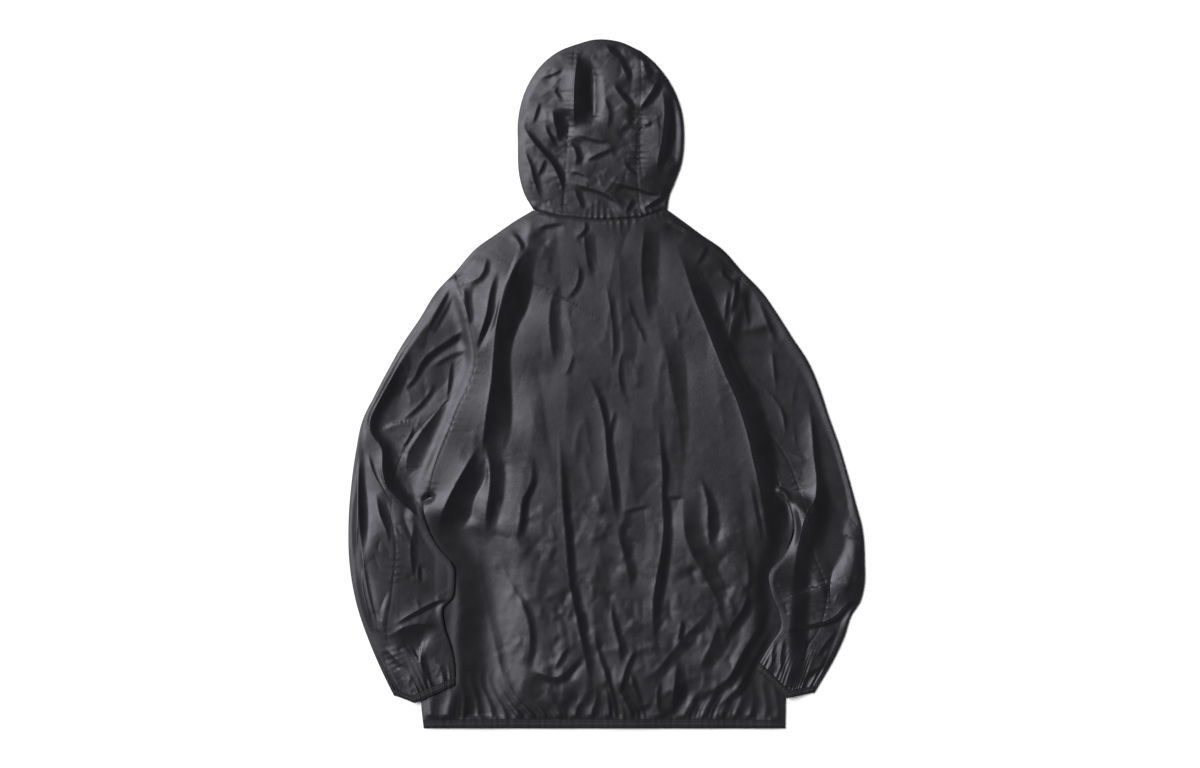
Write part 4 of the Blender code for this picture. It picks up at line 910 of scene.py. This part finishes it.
def front_plan(body, side):
    """Plan points of a front, from its side seam to the zip and from the hem up."""
    rows = np.r_[0:body.hem_rows, body.hem_rows : len(body.up) - 1 : 3, len(body.up) - 1]
    shoulder = body.shoulder_seam(side)
    rows = rows[body.plan[side][0][rows, 1] < shoulder[-1, 1]]
    outer = np.vstack([body.side_seam(side)[rows], shoulder[-1]])
    neck = neckline(side, 40)
    reach = reach_of(neck)
    neck = at_reach(neck, reach, np.linspace(TURN_UNDER - ROLL, reach[-1], FRONT_STEPS + 1))
    top = np.vstack([shoulder[::-1][::2], neck[1:]])
    below_shoulder = np.linspace(0, FRONT_SHARE, len(top) - FRONT_STEPS)
    across = np.r_[below_shoulder, np.linspace(FRONT_SHARE, 1, FRONT_STEPS + 1)[1:]]
    up = (outer[:, 1] - outer[0, 1]) / (outer[-1, 1] - outer[0, 1])
    foot = np.array([neck[-1, 0], outer[0, 1]])
    zip_side = foot + (neck[-1] - foot) * up[:, None]
    bottom = outer[0] + (zip_side[0] - outer[0]) * across[:, None]
    return patch(outer, zip_side, bottom, top, across, up)


def make_front(body, side, cloth, elastic):
    plan = front_plan(body, side)
    low, plan = plan[: body.hem_rows], plan[body.hem_rows - 1 :]
    x, y = plan[..., 0], plan[..., 1]
    gathers = 0.5 * np.abs(hem_gathers(x, y) * ease((60 - y) / 40))
    rise = np.abs(crinkles(FRONT_CRINKLES, x, y)) + gathers
    rise *= ease(steps_in(x.shape[1]) / 5) * ease((plan[-1:, :, 1] - y) / 20)
    rise *= ease((np.abs(x) - 16) / 20)
    front = Shell(with_height(plan, front_height(x, y) + rise))
    front = front.cloth(f"front_{side}_cloth", cloth, faces_down=True)
    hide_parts(f"front_{side}")
    band = Shell(with_height(low, 0.0))
    band = band.binding(f"hem_binding_{side}_cloth", elastic, faces_down=True)
    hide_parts(f"hem_binding_{side}")


def make_teeth(material):
    """Teeth of the closed zip, from the hem's binding to the slider, by turns on each side."""
    for side, start in (("left", 0.0), ("right", TOOTH_PITCH / 2)):
        y = np.arange(FIRST_TOOTH + start, SLIDER_Y + 4, TOOTH_PITCH)
        z = front_height(FRONT_EDGE + 0 * y, y) + TAPE_MIDDLE
        centres = np.stack([np.full(y.shape, -SIGN[side] * TOOTH_OFF), y, z], axis=1)
        ways = np.tile((1.0, 0.0, 0.0), (len(y), 1))
        add_bars(f"zip_teeth_{side}", centres, ways, TOOTH_SIZE, material)


# ---------------------------------------------------------------- sleeves

COLUMN_GAP = 1.5  # most that each column adds to the distance from the edge
BRIDGE_WIDTH, BRIDGE_UP, BRIDGE_FADE = 150, 20, 80
ARM_CALM, ARM_JOINED = 9, 12  # from the armhole to a sleeve's own folds, and to its own height
UPPER_ARM_FROM, UPPER_ARM_FADE = 30, 28  # under the underarm
CUFF_WAVES, CUFF_HEIGHT, CUFF_FADE = 6.5, 1.4, 16
CUFF_LEVEL, CUFF_LEVEL_FADE, CUFF_LEVEL_SHARE = 1.2, 26, 0.85
CUFF_BAND_GATHERS = 0.35  # share of the cuff's gathers that show in its binding


class Sleeve:
    """Fine version of the part's sleeve: rows run from the armhole to the cuff."""

    columns, under_columns, rows, band_rows = 60, 10, 300, 6
    loft = {"left": 1.4, "right": 2.6}

    def __init__(self, side, body):
        lines = OUTLINES[side]
        self.side, self.body = side, body
        arm = ARMHOLES[side]
        reach = reach_of(arm)
        split = lines.arm_split * reach[-1]
        self.arm = {
            "upper": at_reach(arm, reach, np.linspace(0, split, self.columns + 1)),
            "under": at_reach(arm, reach, np.linspace(reach[-1], split, self.columns + 1)),
        }
        cuff_point = rounded(lines.cuff, 200)[int(lines.seam_at_cuff * 199)]
        self.seam, self.up = self.stations([self.arm["upper"][-1], *lines.seam, cuff_point])
        self.length = reach_of(self.seam)[-1]
        sign = SIGN[side]
        self.edges = {
            "upper": self.edge(lines.outer, -sign, -shoulder_turn(side)),
            "under": self.edge(lines.inner, sign, np.array([-sign * ROLL, 0.0])),
        }

    def stations(self, points):
        """Points of the rows on a line from the armhole to the cuff, and their share of it."""
        line = rounded(points, 500)
        reach = reach_of(line)
        cuff = reach[-1] - BINDING
        rows = np.linspace(0, cuff, self.rows + 1)
        at = np.r_[rows, np.linspace(cuff, reach[-1], self.band_rows + 1)[1:]]
        return at_reach(line, reach, at), at / reach[-1]

    def edge(self, points, turn_sign, first_turn):
        line = self.stations(points)[0]
        way_in = inward(line, turn_sign) * ROLL
        way_in[0] = first_turn
        return line + way_in, -way_in

    def panel(self, name, rows, columns):
        edge = self.edges[name][0]
        arm = np.vstack([edge[:1], self.arm[name][1:]])
        at = np.linspace(0, 1, columns + 1)
        arm = at_reach(arm, np.linspace(0, 1, self.columns + 1), at)
        cuff = edge[-1] + (self.seam[-1] - edge[-1]) * at[:, None]
        return patch(edge[rows], self.seam[rows], arm, cuff, at, self.up[rows])

    def rest(self, plan):
        return rest_height(self.side, plan[..., 0], plan[..., 1])

    def bridge(self, x, y, gap, base):
        """How far the left forearm's top layer hangs over the step beside the body."""
        outside = side_x(self.side, y) - x
        wide = STACK * ease((BRIDGE_WIDTH - outside) / BRIDGE_WIDTH)
        wide *= ease((UNDERARM[self.side] + BRIDGE_UP - y) / BRIDGE_FADE)
        return np.maximum(wide * ease(gap / 30) - base, 0)

    def top(self, name, rows, gathers=1.0):
        """Top layer of a panel, with its folds, its seams' puckers and its gathers."""
        plan = self.panel(name, rows, self.columns)
        x, y = plan[..., 0], plan[..., 1]
        arm_gap = distance(ARMHOLES[self.side], x, y)
        upper_arm = ease((y - UNDERARM[self.side] + UPPER_ARM_FROM) / UPPER_ARM_FADE)
        own = slopes(SLEEVE_SLOPES[self.side], x, y) + crinkles(SLEEVE_CRINKLES, x, y)
        own *= 1 - np.exp(-((arm_gap / ARM_CALM) ** 2))
        gap = np.minimum(*(distance(edge[0][::6], x, y) for edge in self.edges.values()))
        inside = np.minimum(gap, COLUMN_GAP * np.arange(self.columns + 1))
        base = self.rest(plan)
        field = own + slopes(BODY_SLOPES, x, y) * upper_arm
        height = lifted(field, inside, base, self.loft[self.side])
        if self.side == "left":
            height += blurred(self.bridge(x, y, inside, base), 4)
        height += pucker(self.seam[::5], x, y, "arm") * ease(gap / 12)
        joined = np.exp(-((arm_gap / ARM_JOINED) ** 2)) * upper_arm
        height += (self.body.height(x, y) - height) * joined
        cuff_gap = np.maximum((1 - self.up[rows, None]) * self.length - BINDING, 0)
        u = np.linspace(0, 1, self.columns + 1)
        wave = ridges(u * CUFF_WAVES + 0.5 * np.sin(9 * u))
        height += gathers * CUFF_HEIGHT * wave * np.exp(-cuff_gap / CUFF_FADE) * ease(u * 6)
        level = np.exp(-cuff_gap / CUFF_LEVEL_FADE) * ease(u * 5)
        over = np.maximum(height - base - LAID - CUFF_LEVEL, 0)
        height -= level * over * CUFF_LEVEL_SHARE
        height[:, 0] = base[:, 0] + LAID
        return with_height(plan, height)

    def roll(self, name, rows):
        points, turns = self.edges[name]
        return turned_edge(points[rows], turns[rows], self.rest(points)[rows])

    def underside(self, name, rows):
        plan = self.panel(name, rows, self.under_columns)
        return with_height(plan, self.rest(plan))


def make_sleeve_panel(sleeve, name, cloth):
    rows = np.arange(sleeve.rows + 1)
    shell = Shell(sleeve.top(name, rows), sleeve.roll(name, rows), sleeve.underside(name, rows))
    node = f"sleeve_{sleeve.side}_{name}"
    piece = shell.cloth(f"{node}_cloth", cloth)
    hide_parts(node)


def make_cuff(sleeve, elastic, thread):
    """Elastic binding round the cuff, with the ripple of its elastic."""
    rows = np.arange(sleeve.rows, sleeve.rows + sleeve.band_rows + 1)
    bulge = BAND_BULGE * np.sin(np.linspace(0, np.pi, len(rows)))[:, None]
    u = np.arange(sleeve.columns + 1)
    around, lines = [], []
    for name in ("under", "upper"):
        top = sleeve.top(name, rows, CUFF_BAND_GATHERS)
        top[..., 2] += (bulge + 0.3 * np.sin(u * 1.9)) * ease(u / 6)
        lines.append(top[len(rows) // 2])
        layers = [top[:, ::-1], sleeve.roll(name, rows)[:, 1:-1], sleeve.underside(name, rows)]
        ring = np.concatenate(layers, axis=1)
        around.append((ring if name == "under" else ring[:, ::-1])[:, :-1])
    shell = Shell(np.concatenate(around, axis=1), ring=True)
    node = f"cuff_binding_{sleeve.side}"
    piece = shell.binding(f"{node}_cloth", elastic)
    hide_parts(node)
    line = np.vstack([lines[0][:-1], lines[1][::-1]])
    stitches = add_stitches(f"cuff_stitches_{sleeve.side}", line, thread)


# ---------------------------------------------------------------- hood

HOOD_FOOT, HOOD_FOOT_FADE = 740, 70  # where the hood's rise starts
HOOD_TOP, HOOD_TOP_FADE = 984, 60
NECK_JOINED = 16  # from the neck seam to the hood's own height

class Hood:
    """Fine version of the part's hood: two side panels and a centre one."""

    rows, side_columns, centre_columns, under_columns, face_rows = 150, 44, 66, 16, 8
    middle, half, rise, loft = -6.0, 122.0, 1.6, 4.0

    def __init__(self, body):
        self.body = body
        self.up = np.linspace(0, 1, self.rows + 1)
        crown = rounded(CROWN, self.centre_columns + 1)
        self.crown_in = inward(crown, 1) * ROLL
        self.crown = crown + self.crown_in
        self.seams = {side: self.seam(side) for side in OUTLINES}

    def seam(self, side):
        stop = self.crown[END[side]]
        line = rounded(HOOD_SEAM[side], 100)[2:]
        line = line[line[:, 1] < stop[1] - 1]
        return even(np.vstack([NECK[END[side]], line, stop]), self.rows + 1)

    def side_edge(self, side):
        line = rounded(HOOD_OUTLINE[side], self.rows + 1)
        way_in = inward(line, SIGN[side]) * ROLL
        way_in[0] = NECK_END_TURN[side]
        way_in[-1] = self.crown_in[END[side]]
        return line + way_in, -way_in

    def height(self, plan):
        x, y = plan[..., 0], plan[..., 1]
        own = slopes(HOOD_SLOPES, x, y) + crinkles(HOOD_CRINKLES, x, y)
        across = np.clip(1 - ((x - self.middle) / self.half) ** 2, 0, 1)
        rise = self.rise * across * ease((y - HOOD_FOOT) / HOOD_FOOT_FADE)
        own += rise * ease((HOOD_TOP - y) / HOOD_TOP_FADE)
        away = ease(distance(NECK_SEAM, x, y) / NECK_JOINED)
        gap = distance(self.crown, x, y)
        for side in OUTLINES:
            gap = np.minimum(gap, distance(self.side_edge(side)[0][::3], x, y))
        height = lifted(own * away, gap, 0.0, self.loft)
        for side in OUTLINES:
            height += pucker(self.seams[side][::4], x, y, f"hood {side}") * ease(gap / 12)
        height = height * away + self.body.height(x, y) * (1 - away)
        return height + pucker(NECK_SEAM, x, y, "neck on the hood") * ease(gap / 12)

    def side_top(self, side):
        edge, seam = self.side_edge(side)[0], self.seams[side]
        blend = np.linspace(0, 1, self.side_columns + 1)[None, :, None]
        plan = edge[:, None] * (1 - blend) + seam[:, None] * blend
        height = self.height(plan)
        height[:, 0] = LAID
        height[-1] = LAID
        return with_height(plan, height)

    def side_under(self, side):
        edge = self.side_edge(side)[0]
        low = neckline(side, self.under_columns + 1)
        face = rounded(FACE_EDGE[side], self.rows + 1)
        face[0] = low[-1]
        across = np.linspace(0, 1, self.under_columns + 1)
        high = edge[-1] + (face[-1] - edge[-1]) * across[:, None]
        return with_height(patch(edge, face, low, high, across, self.up), 0.0)

    def centre_top(self):
        low = rounded(NECK, self.centre_columns + 1)
        across = np.linspace(0, 1, self.centre_columns + 1)
        left, right = self.seams["left"], self.seams["right"]
        plan = patch(left, right, low, self.crown, across, self.up)
        height = self.height(plan)
        height[-1] = LAID
        return with_height(plan, height)

    def centre_under(self):
        face = rounded(FACE_TOP, self.centre_columns + 1)
        share = np.linspace(0, 1, self.face_rows + 1)[:, None, None]
        return with_height(self.crown * (1 - share) + face * share, 0.0)


def make_hood(body, cloth):
    hood = Hood(body)
    for side in OUTLINES:
        roll = turned_edge(*hood.side_edge(side))
        shell = Shell(hood.side_top(side), roll, hood.side_under(side))
        piece = shell.cloth(f"hood_{side}_cloth", cloth)
        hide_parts(f"hood_{side}")
    roll = turned_edge(hood.crown, -hood.crown_in)
    piece = Shell(hood.centre_top(), roll, hood.centre_under()).cloth("hood_centre_cloth", cloth)
    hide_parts("hood_centre")


# ---------------------------------------------------------------- materials

BLACK_NYLON = ((0.0075, 0.0073, 0.0088, 1), (0.0100, 0.0098, 0.0115, 1))
BLACK_ELASTIC = ((0.008, 0.008, 0.009, 1), (0.012, 0.012, 0.013, 1))
SPECULAR_TINT = (0.93, 0.91, 1.0, 1)
SHEEN_ROUGHNESS = 0.4
WEAVE_DEPTH, CRINKLE_DEPTH = 0.0002, 0.002


def new_material(name):
    material = bpy.data.materials.new(name)
    material.use_nodes = True
    return material, material.node_tree, material.node_tree.nodes["Principled BSDF"]


def add_node(tree, kind, inputs, **settings):
    """A shader node, with each input given its value or a link from another node."""
    node = tree.nodes.new(f"ShaderNode{kind}")
    for name, value in settings.items():
        setattr(node, name, value)
    for name, value in inputs.items():
        if isinstance(value, bpy.types.NodeSocket):
            tree.links.new(value, node.inputs[name])
        else:
            node.inputs[name].default_value = value
    return node


def add_range(tree, source, before, after):
    """Maps a source from one range to another."""
    inputs = {"From Min": before[0], "From Max": before[1], "To Min": after[0], "To Max": after[1]}
    return add_node(tree, "MapRange", {**inputs, "Value": source}).outputs["Result"]


def cloth_material(name, colours, rough, gloss, sheen, weave, bump):
    """Woven cloth: uneven colour and gloss, fine crinkle, and the threads of its weave."""
    material, tree, shader = new_material(name)
    place = tree.nodes.new("ShaderNodeTexCoord").outputs["Object"]

    def noise(scale, detail, roughness=0.5):
        inputs = {"Scale": scale, "Detail": detail, "Roughness": roughness, "Vector": place}
        return add_node(tree, "TexNoise", inputs).outputs["Fac"]

    patches = add_range(tree, noise(14, 4), (0.35, 0.65), (0, 1))
    inputs = {"A": colours[0], "B": colours[1], "Factor": patches}
    colour = add_node(tree, "Mix", inputs, data_type="RGBA")
    tree.links.new(colour.outputs["Result"], shader.inputs["Base Color"])
    dull = add_range(tree, noise(55, 3), (0.3, 0.7), rough)
    tree.links.new(dull, shader.inputs["Roughness"])
    shader.inputs["Sheen Weight"].default_value = sheen
    shader.inputs["Sheen Roughness"].default_value = SHEEN_ROUGHNESS
    shader.inputs["Specular IOR Level"].default_value = gloss
    shader.inputs["Specular Tint"].default_value = SPECULAR_TINT

    woven = add_node(tree, "Math", {}, operation="MULTIPLY")
    for socket, axis in zip(woven.inputs, ("X", "Y")):
        inputs = {"Scale": weave, "Distortion": 0.6, "Vector": place}
        wave = add_node(tree, "TexWave", inputs, bands_direction=axis)
        tree.links.new(wave.outputs["Fac"], socket)
    inputs = {"Strength": bump[0], "Distance": WEAVE_DEPTH, "Height": woven.outputs["Value"]}
    threads = add_node(tree, "Bump", inputs).outputs["Normal"]
    inputs = {"Strength": bump[1], "Distance": CRINKLE_DEPTH, "Height": noise(90, 5, 0.6)}
    crinkle = add_node(tree, "Bump", {**inputs, "Normal": threads})
    tree.links.new(crinkle.outputs["Normal"], shader.inputs["Normal"])
    return material


def plain_material(name, colour, rough, metallic=0.0):
    material, tree, shader = new_material(name)
    noise = add_node(tree, "TexNoise", {"Scale": 60, "Detail": 4}).outputs["Fac"]
    tree.links.new(add_range(tree, noise, (0, 1), rough), shader.inputs["Roughness"])
    shader.inputs["Base Color"].default_value = colour
    shader.inputs["Metallic"].default_value = metallic
    return material


# ---------------------------------------------------------------- floor, light and camera

PHOTO_WIDTH, PHOTO_HEIGHT = 1200, 768
PIXEL = 1.42  # millimetres
PHOTO_ORIGIN = (605, 729)  # pixel of the middle of the hem
LENS, SENSOR = 120.0, 36.0
AIM_HEIGHT = 0.012  # of the cloth, where a pixel is as wide as stated
FLOOR_REACH, FLOOR_HEIGHT = 4.0, -0.0003
SUN_DIRECTION, SUN_ENERGY, SUN_ANGLE = (-0.56, 0.23, 0.79), 4.75, 42
# The studio is dark overhead, with pale walls that a low view sees reflected in the cloth
CEILING_LIGHT, WALL_LIGHT = 0.035, 0.5
WALL_TOP, WALL_FOOT = 0.6, 0.25  # sines of their elevations


def make_stage(floor_material):
    data = bpy.data.meshes.new("floor")
    signs = ((-1, -1), (1, -1), (1, 1), (-1, 1))
    corners = [(x * FLOOR_REACH, y * FLOOR_REACH, FLOOR_HEIGHT) for x, y in signs]
    data.from_pydata(corners, [], [(0, 1, 2, 3)])
    floor = bpy.data.objects.new("floor", data)
    bpy.context.scene.collection.objects.link(floor)
    data.materials.append(floor_material)


def make_light():
    light = bpy.data.lights.new("key", "SUN")
    light.energy = SUN_ENERGY
    light.angle = np.radians(SUN_ANGLE)
    lamp = bpy.data.objects.new("key", light)
    lamp.rotation_mode = "QUATERNION"
    lamp.rotation_quaternion = (-Vector(SUN_DIRECTION)).to_track_quat("-Z", "Y")
    bpy.context.scene.collection.objects.link(lamp)
    world = bpy.data.worlds.new("studio")
    world.use_nodes = True
    tree = world.node_tree
    background = tree.nodes["Background"]
    background.inputs["Color"].default_value = (1.0, 1.0, 1.0, 1.0)
    direction = tree.nodes.new("ShaderNodeTexCoord").outputs["Generated"]
    parts = add_node(tree, "SeparateXYZ", {"Vector": direction})
    strengths = (CEILING_LIGHT, WALL_LIGHT)
    wall = add_range(tree, parts.outputs["Z"], (WALL_TOP, WALL_FOOT), strengths)
    tree.links.new(wall, background.inputs["Strength"])
    bpy.context.scene.world = world
    bpy.context.scene.view_settings.view_transform = "Standard"


def make_camera():
    data = bpy.data.cameras.new("camera")
    data.lens = LENS
    data.sensor_width = SENSOR
    camera = bpy.data.objects.new("camera", data)
    bpy.context.scene.collection.objects.link(camera)
    x = (PHOTO_WIDTH / 2 - PHOTO_ORIGIN[0]) * PIXEL - CENTRE[0]
    y = (PHOTO_ORIGIN[1] - PHOTO_HEIGHT / 2) * PIXEL - CENTRE[1]
    height = PHOTO_WIDTH * PIXEL * LENS / SENSOR
    camera.location = (x * METRES, y * METRES, height * METRES + AIM_HEIGHT)
    bpy.context.scene.camera = camera


# ---------------------------------------------------------------- the whole


def main():
    nylon = cloth_material(
        "coated_nylon_looks", BLACK_NYLON, rough=(0.34, 0.42), gloss=0.34, sheen=0.02,
        weave=400, bump=(0.15, 0.12),
    )
    elastic = cloth_material(
        "elastic_looks", BLACK_ELASTIC, rough=(0.55, 0.7), gloss=0.16, sheen=0.05,
        weave=260, bump=(0.5, 0.1),
    )
    metal = plain_material("zip_metal_looks", (0.05, 0.05, 0.055, 1), (0.3, 0.45), 1.0)
    paper = plain_material("floor_looks", (0.86, 0.86, 0.86, 1), (0.8, 0.9))
    thread = plain_material("thread_looks", (0.07, 0.07, 0.075, 1), (0.5, 0.65))
    teeth = plain_material("teeth_looks", (0.012, 0.012, 0.013, 1), (0.3, 0.42))
    make_stage(paper)
    body = Body()
    make_back(body, nylon)
    make_hem_binding(body, elastic, thread)
    make_teeth(teeth)
    for side in OUTLINES:
        make_front(body, side, nylon, elastic)
        sleeve = Sleeve(side, body)
        make_sleeve_panel(sleeve, "upper", nylon)
        make_sleeve_panel(sleeve, "under", nylon)
        make_cuff(sleeve, elastic, thread)
    make_hood(body, nylon)
    for node, material in (
        ("zip_slider", metal), ("zip_pull", metal), ("zip_tape_left", elastic),
        ("zip_tape_right", elastic),
    ):
        dress(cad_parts[node], material)
    make_light()
    make_camera()


main()
